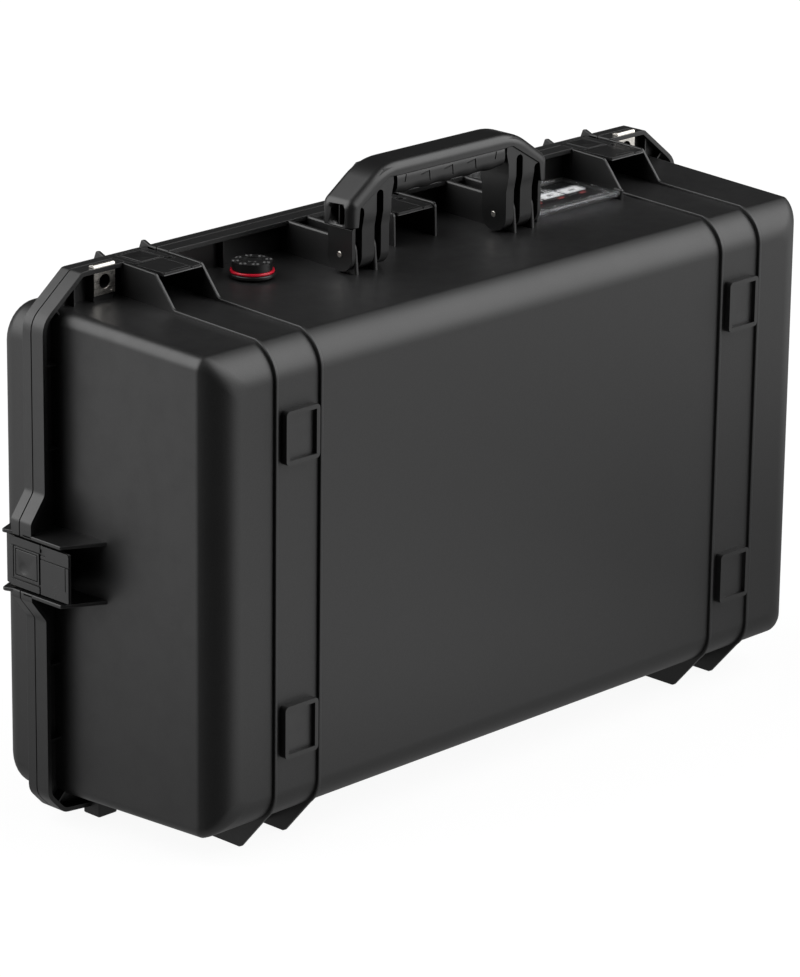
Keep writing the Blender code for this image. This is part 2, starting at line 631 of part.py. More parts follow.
# ---------------------------------------------------------------- handle
def handle_frame():
    """Two forked legs joined by the bar that the grip is moulded on."""
    centre_y = HANDLE_AXIS_Y
    side_profile = [(0.0600, 0.4660), (0.0640, 0.4620), (0.0650, 0.4400), (0.0650, 0.4050)]
    side_profile += [(0.1070, 0.4050), (0.1070, 0.4390), (0.1130, 0.4420), (0.1130, 0.4590)]
    side_profile += [(0.0740, 0.4846), (0.0600, HANDLE_TOP_Z)]
    body = box((-0.0610, centre_y - 0.0085, 0.4665), (0.0610, centre_y + 0.0085, 0.4785), "handle_frame")
    for side in (-1.0, 1.0):
        outline = [(side * x, z) for x, z in side_profile]
        leg = prism(outline, "y", centre_y - 0.03, centre_y + 0.03)
        crown = HANDLE_TOP_Z + 0.001
        section = [(centre_y - HANDLE_HALF_Y, HANDLE_AXIS_Z), (centre_y - HANDLE_HALF_Y, 0.4380)]
        section += [(centre_y - HANDLE_GRIP_HALF_Y, 0.4500), (centre_y - HANDLE_GRIP_HALF_Y, 0.4760)]
        section += [(centre_y - 0.0100, crown), (centre_y + 0.0100, crown)]
        section += [(centre_y + HANDLE_GRIP_HALF_Y, 0.4760), (centre_y + HANDLE_GRIP_HALF_Y, 0.4500)]
        section += [(centre_y + HANDLE_HALF_Y, 0.4380)]
        section += arc((centre_y, HANDLE_AXIS_Z), HANDLE_HALF_Y - 0.0006, 0, -180, 8)
        keep = prism(section, "x", *sorted((side * 0.055, side * 0.120)))
        boolean(leg, keep, "INTERSECT")
        join(body, leg)
        for x, top in ((BRACKET_X[0], 0.4665), (BRACKET_X[1], 0.4560)):
            middle = side * x
            through = box((middle - SLOT_HALF, centre_y - 0.03, 0.39),
                          (middle + SLOT_HALF, centre_y + 0.03, HANDLE_AXIS_Z + 0.0200))
            cut(body, through)
            for face in (-1.0, 1.0):
                near, far = sorted((centre_y + face * 0.0025, centre_y + face * 0.03))
                top_arc = arc((middle, top - SLOT_HALF), SLOT_HALF, 0, 180, 4)
                pocket = [(middle - SLOT_HALF, 0.430), (middle + SLOT_HALF, 0.430)] + top_arc
                cut(body, prism(pocket, "y", near, far))
        opening = box((0.1010, centre_y - 0.0078, 0.4425), (0.1150, centre_y + 0.0078, 0.4595))
        if side < 0.0:
            opening.data.transform(Matrix.Diagonal((-1.0, 1.0, 1.0, 1.0)))
            opening.data.flip_normals()
        cut(body, opening)
        pin = circle((HANDLE_AXIS_Y, HANDLE_AXIS_Z), HANDLE_PIN_R + FIT_GAP, 12)
        cut(body, prism(pin, "x", *sorted((side * 0.060, side * 0.110))))
    return body


def handle_grip():
    """The soft sleeve round the bar."""
    centre_y = HANDLE_AXIS_Y
    reach = 0.0595
    section = [(centre_y - 0.0125, 0.4580), (centre_y + 0.0125, 0.4580)]
    section += [(centre_y + HANDLE_GRIP_HALF_Y, 0.4625), (centre_y + HANDLE_GRIP_HALF_Y, 0.4760)]
    section += arc((centre_y + 0.0085, 0.4778), 0.0080, 0, 90, 3)
    section += arc((centre_y - 0.0085, 0.4778), 0.0080, 90, 180, 3)
    section += [(centre_y - HANDLE_GRIP_HALF_Y, 0.4760), (centre_y - HANDLE_GRIP_HALF_Y, 0.4625)]
    sleeve = prism(section, "x", -reach, reach, "grip")
    gap = FIT_GAP
    bore = box((-0.070, centre_y - 0.0085 - gap, 0.4665 - gap), (0.070, centre_y + 0.0085 + gap, 0.4785 + gap))
    return cut(sleeve, bore)


# ---------------------------------------------------------------- small parts
def padlock_plate(side):
    """Bent steel sheet over a padlock ear, with a hole."""
    thick = PLATE_THICK
    front = BASE_FLANGE_Y + EAR_STEP - FIT_GAP
    half = EAR_HALF + PLATE_MARGIN
    top = FLANGE_TOP_Z + FIT_GAP
    x = side * EAR_X
    profile = [(front - thick, 0.4100), (front, 0.4100), (front, top), (PARTING_Y - 0.0012, top)]
    profile += [(PARTING_Y - 0.0012, top + thick), (front - thick * 0.4, top + thick)]
    profile += [(front - thick, top + thick * 0.4)]
    plate = prism(profile, "x", x - half, x + half, "plate")
    return cut(plate, prism(circle((x, EAR_HOLE_Z), EAR_HOLE_R - 0.0003), "y", 0.045, 0.055))


def ring_of(outer_r, inner_r, low, high, sides=24):
    """A flat ring about the vent's axis."""
    centre = (VENT_X, VENT_Y)
    body = prism(circle(centre, outer_r, sides), "z", low, high, "ring")
    return cut(body, prism(circle(centre, inner_r, 24), "z", low - 0.01, high + 0.01))


def vent_body():
    """Disc outside, threaded stem through the wall."""
    centre = (VENT_X, VENT_Y)
    body = prism(circle(centre, VENT_R, 24), "z", 0.4060, 0.4085, "vent")
    join(body, prism(circle(centre, 0.0070, 14), "z", 0.3900, 0.4070))
    join(body, prism(circle(centre, 0.0090, 16), "z", 0.4080, 0.4108))
    return cut(body, prism(circle(centre, 0.0030, 10), "z", 0.38, 0.42))


def vent_cap():
    """Round cap with finger notches."""
    centre = (VENT_X, VENT_Y)
    body = prism(circle(centre, 0.0155, 24), "z", 0.4111, 0.4180, "cap")
    for index in range(6):
        angle = math.radians(60.0 * index + 15.0)
        at = (centre[0] + 0.0185 * math.cos(angle), centre[1] + 0.0185 * math.sin(angle))
        cut(body, prism(circle(at, 0.0052, 10), "z", 0.4140, 0.4200))
    return body


def card_window():
    """Clear door over the card, with its hinge barrel along the near edge."""
    low_x, low_y = CARD_LOW
    high_x, high_y = CARD_HIGH
    body = box((low_x, low_y, CARD_Z + 0.0013), (high_x, high_y, CARD_Z + 0.0033), "window")
    axis = (low_y, CARD_Z + CARD_BARREL_UP)
    join(body, prism(circle(axis, 0.0024, 12), "x", low_x + 0.0004, high_x - 0.0004))
    reach = CARD_LUG - 0.0002
    return join(body, prism(circle(axis, CARD_NIB_R, 10), "x", low_x - reach, high_x + reach))


def foam_block():
    """Foam insert with cut-outs for the drone, its controller and its batteries."""
    low_y = TUB_FACE_Y + WALL + FLOOR_PAD + 2.0 * FOAM_GAP
    clearance = WALL + FOAM_GAP
    body = loft([tub_ring(low_y, clearance), tub_ring(FOAM_TOP_Y, clearance)], "foam")
    for low_x, low_z, high_x, high_z, depth in foam_pockets():
        outline = rounded_rectangle(low_x, high_x, low_z, high_z, 0.012, 3)
        cut(body, prism(outline, "y", FOAM_TOP_Y - depth, FOAM_TOP_Y + 0.01))
    cut(body, box((VENT_X - 0.020, VENT_Y - 0.020, 0.3860), (VENT_X + 0.020, FOAM_TOP_Y + 0.01, 0.42)))
    return body


def foam_pockets():
    """Low x, low z, high x, high z and depth of each cut-out."""
    pockets = [(-0.285, 0.085, -0.020, 0.250, 0.095), (-0.285, 0.275, -0.060, 0.355, 0.060)]
    for index in range(4):
        low_x = 0.030 + 0.066 * index
        pockets.append((low_x, 0.245, low_x + 0.050, 0.355, 0.070))
    pockets.append((0.030, 0.060, 0.210, 0.215, 0.080))
    pockets.append((0.235, 0.060, 0.290, 0.215, 0.055))
    return pockets


def foam_floor():
    """Flat pad on the bottom of the tub."""
    low_y = TUB_FACE_Y + WALL + FOAM_GAP
    clearance = WALL + FOAM_GAP
    rings = [tub_ring(low_y, clearance, 0.0190), tub_ring(low_y + 0.006, clearance, 0.0100)]
    rings += [tub_ring(low_y + 0.014, clearance, 0.0030), tub_ring(low_y + FLOOR_PAD, clearance)]
    return loft(rings, "floor_pad")


def lid_foam():
    """Pad that fills the lid pan."""
    high_y = LID_FACE_Y - WALL - FOAM_GAP
    clearance = WALL + FOAM_GAP
    rings = [lid_ring(LID_FOAM_Y, clearance), lid_ring(high_y - 0.012, clearance)]
    rings += [lid_ring(high_y - 0.004, clearance, 0.0050), lid_ring(high_y, clearance, 0.0120)]
    return loft(rings, "lid_foam")


# ---------------------------------------------------------------- assembly
def build():
    """Make every sub-part."""
    for old in list(bpy.data.objects):
        bpy.data.objects.remove(old)

    shell = material("shell_black", (0.012, 0.012, 0.013), 0.55)
    trim = material("trim_black", (0.015, 0.015, 0.016), 0.45)
    rubber = material("grip_rubber", (0.018, 0.018, 0.018), 0.7)
    steel = material("stainless_steel", (0.62, 0.60, 0.57), 0.28, 1.0)
    red = material("seal_red", (0.60, 0.01, 0.03), 0.4)
    seal = material("gasket_rubber", (0.03, 0.03, 0.03), 0.8)
    foam = material("charcoal_foam", (0.05, 0.05, 0.055), 0.95)
    clear = material("clear_plastic", (0.85, 0.88, 0.92), 0.08)
    paper = material("card_paper", (0.80, 0.80, 0.78), 0.7)

    hinge = (0.0, PARTING_Y, HINGE_AXIS_Z)
    finish(base_shell(), "base_shell", shell)
    finish(lid_shell(), "lid_shell", shell, hinge)

    rim_y = PARTING_Y + RIM_GAP
    gap = FIT_GAP
    gasket = prism(gasket_outline(gap), "y", rim_y, rim_y + GASKET_DEPTH - gap, "gasket")
    cut(gasket, prism(gasket_outline(GASKET_WIDTH - gap), "y", rim_y - 0.01, rim_y + 0.01))
    finish(gasket, "lid_gasket", seal, hinge)
    finish(lid_foam(), "lid_foam", foam, hinge)
    finish(foam_block(), "base_foam_insert", foam)
    finish(foam_floor(), "base_foam_floor", foam)

    for side, word in ((-1.0, "left"), (1.0, "right")):
        reach = 0.5 * KNUCKLE_COUNT * KNUCKLE_PITCH
        middle = side * HINGE_CENTRE_X
        pin = prism(circle((PARTING_Y, HINGE_AXIS_Z), HINGE_PIN_R, 10), "x", middle - reach, middle + reach)
        finish(pin, "hinge_pin_" + word, steel)
        pin = prism(circle((HANDLE_AXIS_Y, HANDLE_AXIS_Z), HANDLE_PIN_R, 12), "x",
                    *sorted((side * 0.0652, side * 0.1068)))
        finish(pin, "handle_pin_" + word, steel)
        finish(padlock_plate(side), "padlock_plate_" + word, steel)

    handle_axis = (0.0, HANDLE_AXIS_Y, HANDLE_AXIS_Z)
    finish(handle_frame(), "handle_frame", trim, handle_axis)
    finish(handle_grip(), "handle_grip", rubber, handle_axis)

    for channel in latch_channels():
        word = channel[0]
        pivot = in_channel(channel, (0.0, LATCH_PIVOT_Y, -LATCH_PIVOT_DEPTH))
        middle = in_channel(channel, (0.0, 0.5 * (BUTTON_LOW_Y + BUTTON_HIGH_Y), -LATCH_SINK))
        finish(into_channel(latch_body(), channel), "latch_" + word, trim, pivot)
        finish(into_channel(latch_button(), channel), "button_" + word, trim, middle)
        finish(into_channel(latch_spring(), channel), "button_spring_" + word, steel, pivot)
        finish(into_channel(latch_pin(), channel), "latch_pin_" + word, steel, pivot)

    finish(vent_body(), "vent_body", trim)
    finish(ring_of(0.0172, 0.0094, 0.4088, 0.4106), "vent_seal", red)
    finish(vent_cap(), "vent_cap", trim)
    finish(ring_of(0.0120, 0.0074, 0.3925, 0.3975, 6), "vent_nut", trim)

    low_x, low_y = CARD_LOW
    high_x, high_y = CARD_HIGH
    card = box((low_x + 0.003, low_y + 0.006, CARD_Z + 0.0003), (high_x - 0.003, high_y - 0.002, CARD_Z + 0.0009))
    finish(card, "card", paper)
    finish(card_window(), "card_window", clear, (0.0, low_y, CARD_Z + CARD_BARREL_UP))


build()
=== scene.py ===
"""Looks of the drone carrying case: shells, latches, handle, vent, card holder, foam and studio.

X runs along the length, -Y is the deep half, +Y is the lid and +Z is the handle side. Metres.
"""
import math

import bpy
from mathutils import Matrix, Vector


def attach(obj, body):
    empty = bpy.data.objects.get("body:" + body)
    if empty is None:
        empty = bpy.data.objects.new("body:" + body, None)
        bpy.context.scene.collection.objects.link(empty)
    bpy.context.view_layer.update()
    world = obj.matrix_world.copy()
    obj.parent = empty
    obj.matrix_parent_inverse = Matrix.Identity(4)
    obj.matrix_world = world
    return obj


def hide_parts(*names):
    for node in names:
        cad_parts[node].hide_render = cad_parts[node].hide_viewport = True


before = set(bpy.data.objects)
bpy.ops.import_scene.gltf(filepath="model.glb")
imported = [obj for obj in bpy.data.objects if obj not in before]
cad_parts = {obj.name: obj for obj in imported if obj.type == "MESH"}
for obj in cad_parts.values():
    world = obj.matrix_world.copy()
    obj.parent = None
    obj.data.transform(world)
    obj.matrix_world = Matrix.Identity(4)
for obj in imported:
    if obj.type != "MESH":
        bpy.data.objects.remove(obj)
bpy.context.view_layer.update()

# ---------------------------------------------------------------- sizes that the shells share
PARTING_Y = 0.063
RIM_GAP = 0.0004
WALL = 0.0035
TUB_FACE_Y, TUB_MOUTH_Y = -0.1108, 0.05
TUB_HALF_X, TUB_TOP_Z, TUB_BOTTOM_Z = 0.335, 0.4055, 0.0215
TUB_END_DRAFT, TUB_SIDE_DRAFT = 0.0277, 0.035
TUB_CORNER = 0.011
FILLET_INSET, FILLET_DEPTH, CREASE = 0.0265, 0.0205, 20.0    # round edge of the deep half, crease in degrees
LID_FACE_Y, LID_FLANGE_Y = 0.1145, 0.0725
LID_HALF_X, LID_TOP_Z, LID_BOTTOM_Z = 0.341, 0.4025, 0.014
LID_DRAFT, LID_CORNER, LID_FILLET = 0.04, 0.026, 0.017
FLANGE_HALF_X, FLANGE_TOP_Z, FLANGE_BOTTOM_Z = 0.3515, 0.4315, 0.0064
FLANGE_LIP, FLANGE_WEB, BASE_FLANGE_Y = 0.0038, 0.003, 0.05
GUARD_HALF_X, GUARD_THICK = 0.3655, 0.003
CHANNEL_HALF, CHANNEL_FLOOR = 0.0215, 0.016
FRONT_LATCH_X, SIDE_LATCH_Z = 0.24705, 0.214
PIVOT_Y, PIVOT_DEPTH = 0.0785, 0.0085
RIB_X, RIB_THICK, RIB_HEIGHT = (0.27, 0.2241), 0.003, 0.0025
PAD_TOP_Y, PAD_HALF_X, PAD_HALF_Z = -0.117, 0.0172, 0.0208
PAD_CENTRES_Z, PAD_RIM, PAD_RECESS = (0.3302, 0.1007), 0.0035, 0.0034
HINGE_AXIS_Z, HINGE_R, HINGE_CENTRE_X = 0.0062, 0.0055, 0.155
KNUCKLE_WIDTH, KNUCKLE_PITCH, KNUCKLE_COUNT = 0.022, 0.0226, 5
EAR_X, EAR_HALF, EAR_HOLE_Z, EAR_HOLE_R = 0.2895, 0.01, 0.4205, 0.0058
HANDLE_Y, HANDLE_Z, HANDLE_TOP_Z = -0.0115, 0.418, 0.4856
BRACKET_X = (0.0775, 0.098)
VENT_X, VENT_Y = -0.163, 0.024
CARD_LOW, CARD_HIGH, CARD_Z = (0.1142, -0.0125), (0.2102, 0.048), 0.4068
FOAM_TOP_Y, FOAM_GAP, FLOOR_PAD, LID_FOAM_Y = 0.056, 0.001, 0.025, 0.07
EDGE = 0.0007                # usual rounding of a moulded edge
GUSSET_HALF, GUSSET_EDGE, BRACE_HALF = 0.0008, 0.0003, 0.0052


# ---------------------------------------------------------------- hand tools
def clear():
    """Back to object mode with nothing selected."""
    if bpy.context.mode != "OBJECT":
        bpy.ops.object.mode_set(mode="OBJECT")
    bpy.ops.object.select_all(action="DESELECT")


def pick(*pieces):
    """Select these pieces only, the first one active."""
    clear()
    for piece in pieces:
        piece.select_set(True)
    bpy.context.view_layer.objects.active = pieces[0]


def edit(piece, mode="FACE"):
    """Open a piece in edit mode."""
    pick(piece)
    bpy.ops.object.mode_set(mode="EDIT")
    bpy.ops.mesh.select_mode(type=mode)


def everything():
    """Select all of the open piece."""
    bpy.ops.mesh.select_all(action="SELECT")


def leave():
    """Back to object mode."""
    bpy.ops.object.mode_set(mode="OBJECT")


def choose(piece, kind, test):
    """Open a piece with the faces or edges selected that pass a test on their middle and direction."""
    clear()
    mesh = piece.data
    for group in (mesh.vertices, mesh.edges, mesh.polygons):
        group.foreach_set("select", [False] * len(group))
    if kind == "FACE":
        for face in mesh.polygons:
            face.select = bool(test(face.center, face.normal))
    else:
        for edge in mesh.edges:
            start, end = (mesh.vertices[index].co for index in edge.vertices)
            edge.select = bool(test((start + end) / 2, (end - start).normalized()))
    edit(piece, kind)


def along(axis, p, q, r):
    """A point with p and q across an axis and r along it."""
    return {"x": (r, p, q), "y": (p, r, q), "z": (p, q, r)}[axis]


def flat(name, outline, axis, at):
    """A flat face with an outline's corners."""
    clear()
    bpy.ops.mesh.primitive_circle_add(vertices=len(outline), radius=1.0, fill_type="NGON")
    piece = bpy.context.object
    piece.name = piece.data.name = name
    for vertex, (p, q) in zip(piece.data.vertices, outline):
        vertex.co = along(axis, p, q, at)
    return piece


def pull(axis, distance):
    """Extrude what is selected along an axis."""
    bpy.ops.mesh.extrude_region_move(TRANSFORM_OT_translate={"value": along(axis, 0.0, 0.0, distance)})


def face_outwards():
    """Turn every face outwards and leave edit mode."""
    everything()
    bpy.ops.mesh.normals_make_consistent(inside=False)
    leave()


def apply_modifier(piece, kind, **values):
    """Add a modifier, set it up and apply it."""
    pick(piece)
    bpy.ops.object.modifier_add(type=kind)
    modifier = piece.modifiers[-1]
    for key, value in values.items():
        setattr(modifier, key, value)
    bpy.ops.object.modifier_apply(modifier=modifier.name)
    return piece


def soften(piece, width=EDGE, steps=2, angle=32.0):
    """Round the sharp edges and keep the flats flat."""
    pick(piece)
    bpy.ops.object.shade_smooth()
    return apply_modifier(piece, "BEVEL", width=width, segments=steps, limit_method="ANGLE",
                          angle_limit=math.radians(angle), harden_normals=True)


def smooth(piece, angle=35.0):
    """Smooth shading that leaves large flats flat."""
    pick(piece)
    bpy.ops.object.shade_smooth_by_angle(angle=math.radians(angle))
    return apply_modifier(piece, "WEIGHTED_NORMAL", keep_sharp=True)


def slab(name, outline, axis, low, high, edge=EDGE, steps=2):
    """A flat moulding: outline pulled along an axis, with rounded edges."""
    piece = flat(name, outline, axis, low)
    edit(piece)
    everything()
    pull(axis, high - low)
    face_outwards()
    return soften(piece, edge, steps) if edge else piece


def border(name, outline, width, axis, low, high, edge=EDGE):
    """A frame of even width inside an outline."""
    piece = flat(name, outline, axis, low)
    edit(piece)
    everything()
    bpy.ops.mesh.inset(thickness=width, use_even_offset=True)
    bpy.ops.mesh.delete(type="FACE")
    everything()
    pull(axis, high - low)
    face_outwards()
    return soften(piece, edge) if edge else piece


def block(name, low, high, edge=EDGE, steps=2):
    """A slab between two corners."""
    outline = [(low[0], low[1]), (high[0], low[1]), (high[0], high[1]), (low[0], high[1])]
    return slab(name, outline, "z", low[2], high[2], edge, steps)


def carve(piece, *cutters):
    """Cut pieces out of a piece."""
    for cutter in cutters:
        apply_modifier(piece, "BOOLEAN", operation="DIFFERENCE", solver="EXACT", object=cutter)
        bpy.data.objects.remove(cutter)
    return piece


def gather(name, pieces):
    """Make one piece of several."""
    pick(*pieces)
    if len(pieces) > 1:
        bpy.ops.object.join()
    piece = bpy.context.view_layer.objects.active
    piece.name = piece.data.name = name
    return piece


def twin(piece, name, matrix):
    """A copy with its own mesh, moved into place."""
    pick(piece)
    bpy.ops.object.duplicate()
    copy = bpy.context.object
    copy.name = copy.data.name = name
    copy.matrix_world = matrix @ copy.matrix_world
    bpy.ops.object.transform_apply(location=True, rotation=True, scale=True)
    return copy


def mirrored(piece, name):
    """A copy on the other side of X = 0, turned outwards again."""
    copy = twin(piece, name, Matrix.Diagonal((-1.0, 1.0, 1.0, 1.0)))
    edit(copy)
    face_outwards()
    return copy


# ---------------------------------------------------------------- outlines
def arc(centre, radius, start, end, steps):
    """Points along an arc, angles in degrees."""
    return [(centre[0] + radius * math.cos(math.radians(start + (end - start) * step / steps)),
             centre[1] + radius * math.sin(math.radians(start + (end - start) * step / steps)))
            for step in range(steps + 1)]


def circle(centre, radius, sides=32):
    """Points round a circle."""
    return arc(centre, radius, 0.0, 360.0 - 360.0 / sides, sides - 1)


def rounded_rectangle(low_p, high_p, low_q, high_q, radius, steps=6):
    """Outline of a rectangle with round corners."""
    points = arc((high_p - radius, low_q + radius), radius, -90, 0, steps)
    points += arc((high_p - radius, high_q - radius), radius, 0, 90, steps)
    points += arc((low_p + radius, high_q - radius), radius, 90, 180, steps)
    return points + arc((low_p + radius, low_q + radius), radius, 180, 270, steps)


def inside(half_x, low_z, high_z, corner, inset, steps=6):
    """A pan's mouth moved inwards."""
    low_x, high_x = -half_x + inset, half_x - inset
    return rounded_rectangle(low_x, high_x, low_z + inset, high_z - inset, corner - inset, steps)


def ease(points, radius=0.0012, steps=3, closed=True):
    """Round the corners of an outline; a third number in a point is its own radius."""
    eased = []
    count = len(points)
    for index, point in enumerate(points):
        here = Vector(point[:2])
        if not closed and index in (0, count - 1):
            eased.append(tuple(here))
            continue
        before = Vector(points[index - 1][:2]) - here
        after = Vector(points[(index + 1) % count][:2]) - here
        wanted = point[2] if len(point) > 2 else radius
        half = 0.5 * before.angle(after, math.pi)
        if wanted <= 0.0 or half > math.radians(87.0):
            eased.append(tuple(here))
            continue
        reach = min(wanted / math.tan(half), 0.45 * before.length, 0.45 * after.length)
        start = here + before.normalized() * reach
        end = here + after.normalized() * reach
        for step in range(steps + 1):
            share = step / steps
            eased.append(tuple(start * (1 - share) ** 2 + here * 2 * share * (1 - share) + end * share ** 2))
    return eased


def inset_corners(corners, distance):
    """Move the corners of an outline that runs counter-clockwise inwards."""
    moved = []
    for index, corner in enumerate(corners):
        here = Vector(corner[:2])
        before = (here - Vector(corners[index - 1][:2])).normalized()
        after = (Vector(corners[(index + 1) % len(corners)][:2]) - here).normalized()
        inward = Vector((-before.y - after.y, before.x + after.x))
        moved.append(tuple(here + inward * (distance / (1.0 + before.dot(after)))))
    return moved


def flange_corners():
    """Corners of both flanges in X and Z: flares beside the end latches and latch notches."""
    low, high = SIDE_LATCH_Z - CHANNEL_HALF, SIDE_LATCH_Z + CHANNEL_HALF
    notch_x, notch_z = GUARD_HALF_X - CHANNEL_FLOOR, FLANGE_TOP_Z - CHANNEL_FLOOR
    right = [(0.303, FLANGE_BOTTOM_Z, 0.004)]
    right += [(0.336, 0.0095, 0.012), (FLANGE_HALF_X, 0.026, 0.014)]
    right += [(FLANGE_HALF_X, low - 0.0245, 0.006), (GUARD_HALF_X, low - 0.006, 0.004), (GUARD_HALF_X, low)]
    right += [(notch_x, low), (notch_x, high)]
    right += [(GUARD_HALF_X, high), (GUARD_HALF_X, high + 0.0125, 0.006)]
    right += [(FLANGE_HALF_X, high + 0.0315, 0.008), (FLANGE_HALF_X, 0.4, 0.02), (0.312, FLANGE_TOP_Z, 0.006)]
    near, far = FRONT_LATCH_X - CHANNEL_HALF, FRONT_LATCH_X + CHANNEL_HALF
    right += [(far, FLANGE_TOP_Z), (far, notch_z), (near, notch_z)]
    right += [(near, FLANGE_TOP_Z), (CHANNEL_HALF, FLANGE_TOP_Z), (CHANNEL_HALF, notch_z)]
    return right + [(-point[0],) + tuple(point[1:]) for point in reversed(right)]


def flange_outline():
    """The flanges' outline with its corners rounded."""
    return ease(flange_corners(), 0.0012, 4)


def channels():
    """Where each latch goes: its name and the turn that takes the middle latch there."""
    top = Vector((0.0, 0.0, FLANGE_TOP_Z))
    to_origin = Matrix.Translation(-top)
    places = {}
    for word, x in (("front_left", -FRONT_LATCH_X), ("front_centre", 0.0), ("front_right", FRONT_LATCH_X)):
        places[word] = Matrix.Translation((x, 0.0, 0.0))
    for word, side in (("side_left", -1.0), ("side_right", 1.0)):
        turn = Matrix.Rotation(math.radians(90.0 * side), 4, "Y")
        places[word] = Matrix.Translation((side * GUARD_HALF_X, 0.0, SIDE_LATCH_Z)) @ turn @ to_origin
    return places


# ---------------------------------------------------------------- pans of the two shells
def drawn_pan(name, mouth_y, half_x, low_z, high_z, corner, rings):
    """A pan drawn out of a rounded rectangle through rings of (y, inset in X, inset in Z)."""
    middle = 0.5 * (low_z + high_z)
    half_z = 0.5 * (high_z - low_z)
    outline = rounded_rectangle(-half_x, half_x, low_z, high_z, corner, 9)
    piece = flat(name, outline, "y", mouth_y)
    edit(piece)
    everything()
    y, now_x, now_z = mouth_y, half_x, half_z
    for next_y, inset_x, inset_z in rings:
        pull("y", next_y - y)
        next_x, next_z = half_x - inset_x, half_z - inset_z
        bpy.ops.transform.resize(value=(next_x / now_x, 1.0, next_z / now_z),
                                 center_override=(0.0, next_y, middle))
        y, now_x, now_z = next_y, next_x, next_z
    face_outwards()
    return piece


def round_edge(inset, depth, crease, offset=0.0, steps=12):
    """Points (inset, depth) of a pan's round edge, moved outwards by an offset; it starts at a crease."""
    start = math.radians(crease)
    reach, fall = inset / math.cos(start), depth / (1.0 - math.sin(start))
    points = []
    for step in range(steps + 1):
        angle = start + (0.5 * math.pi - start) * step / steps
        along_x, along_y = reach * math.sin(angle), fall * math.cos(angle)
        size = math.hypot(along_x, along_y)
        points.append((reach * (math.cos(start) - math.cos(angle)) - offset * along_y / size,
                       fall * (math.sin(angle) - math.sin(start)) + offset * along_x / size))
    return points


def tub_rings(face_y, start_y, end_draft, side_draft, edge, direction):
    """Rings from the mouth to the big face, with the round edge between the sides and the face."""
    rings = []
    for inset, depth in edge:
        y = face_y - direction * (edge[-1][1] - depth)
        drawn = abs(y - start_y)
        rings.append((y, end_draft * drawn + inset, side_draft * drawn + inset))
    return rings


def open_pan(piece, mouth_y):
    """Open a pan's mouth and give it its wall."""
    choose(piece, "FACE", lambda middle, normal: abs(middle.y - mouth_y) < 0.0001 and abs(normal.y) > 0.9)
    bpy.ops.mesh.delete(type="FACE")
    apply_modifier(piece, "SOLIDIFY", thickness=WALL, offset=-1.0, use_even_offset=True)
    return smooth(piece)


def flange(name, near_y, far_y, web_low, web_high, hole):
    """The lip round the mouth and the web that joins it to the pan."""
    outline = flange_outline()
    lip = border(name + "_lip", outline, FLANGE_LIP, "y", near_y, far_y, 0.001)
    web = slab(name + "_web", inset_corners(flange_corners(), 0.5 * FLANGE_LIP), "y", web_low, web_high, 0.0)
    carve(web, slab("hole", hole, "y", web_low - 0.01, web_high + 0.01, 0.0))
    return [lip, soften(web, 0.0004, 1)]


def knuckles(for_lid):
    """One half's hinge knuckles."""
    pieces = []
    for side in (-1.0, 1.0):
        for index in range(KNUCKLE_COUNT):
            if (index % 2 == 1) == for_lid:
                middle = side * HINGE_CENTRE_X + (index - 0.5 * (KNUCKLE_COUNT - 1)) * KNUCKLE_PITCH
                low, high = middle - 0.5 * KNUCKLE_WIDTH, middle + 0.5 * KNUCKLE_WIDTH
                outline = circle((PARTING_Y, HINGE_AXIS_Z), HINGE_R)
                pieces.append(slab("knuckle", outline, "x", low, high, 0.0006))
    return pieces


def rib(x, path):
    """A thin rib across X."""
    return slab("rib", path, "x", x - 0.5 * RIB_THICK, x + 0.5 * RIB_THICK, 0.0009, 3)


def base_rib_path():
    """Latch guard, slope, top, round edge, big face, round edge and foot, in Y and Z."""
    start_y = TUB_FACE_Y + FILLET_DEPTH
    drawn = TUB_MOUTH_Y - start_y
    top_z, low_z = TUB_TOP_Z - TUB_SIDE_DRAFT * drawn, TUB_BOTTOM_Z + TUB_SIDE_DRAFT * drawn
    outer = round_edge(FILLET_INSET, FILLET_DEPTH, CREASE, RIB_HEIGHT)
    inner = round_edge(FILLET_INSET, FILLET_DEPTH, CREASE, -0.5 * WALL)
    web_y = PARTING_Y - RIM_GAP - 0.001
    path = ease([(web_y, FLANGE_TOP_Z, 0.0), (0.0152, FLANGE_TOP_Z - 0.0018, 0.004), (-0.0046, 0.406, 0.005),
                 (start_y + 0.001, top_z + RIB_HEIGHT, 0.0)], closed=False)
    path += [(start_y - depth, top_z - inset) for inset, depth in outer]
    path += [(start_y - depth, low_z + inset) for inset, depth in outer[:3:-1]]
    path += [(-0.077, 0.0012), (-0.0745, 0.0), (web_y, 0.0), (web_y, TUB_BOTTOM_Z + 0.5 * WALL)]
    path += [(start_y - depth, low_z + inset) for inset, depth in inner]
    path += [(start_y - depth, top_z - inset) for inset, depth in inner[::-1]]
    return path + [(web_y, TUB_TOP_Z - 0.5 * WALL)]


def lid_rib_path():
    """Over the lid's top edge, big face and bottom edge."""
    centre_y = LID_FACE_Y - LID_FILLET
    drawn = centre_y - LID_FLANGE_Y
    upper = (centre_y, LID_TOP_Z - LID_DRAFT * drawn - LID_FILLET)
    lower = (centre_y, LID_BOTTOM_Z + LID_DRAFT * drawn + LID_FILLET)
    outer, inner = LID_FILLET + RIB_HEIGHT, LID_FILLET - 0.5 * WALL
    return (arc(lower, outer, -90, 0, 10) + arc(upper, outer, 0, 90, 10)
            + arc(upper, inner, 90, 0, 8) + arc(lower, inner, 0, -90, 8))


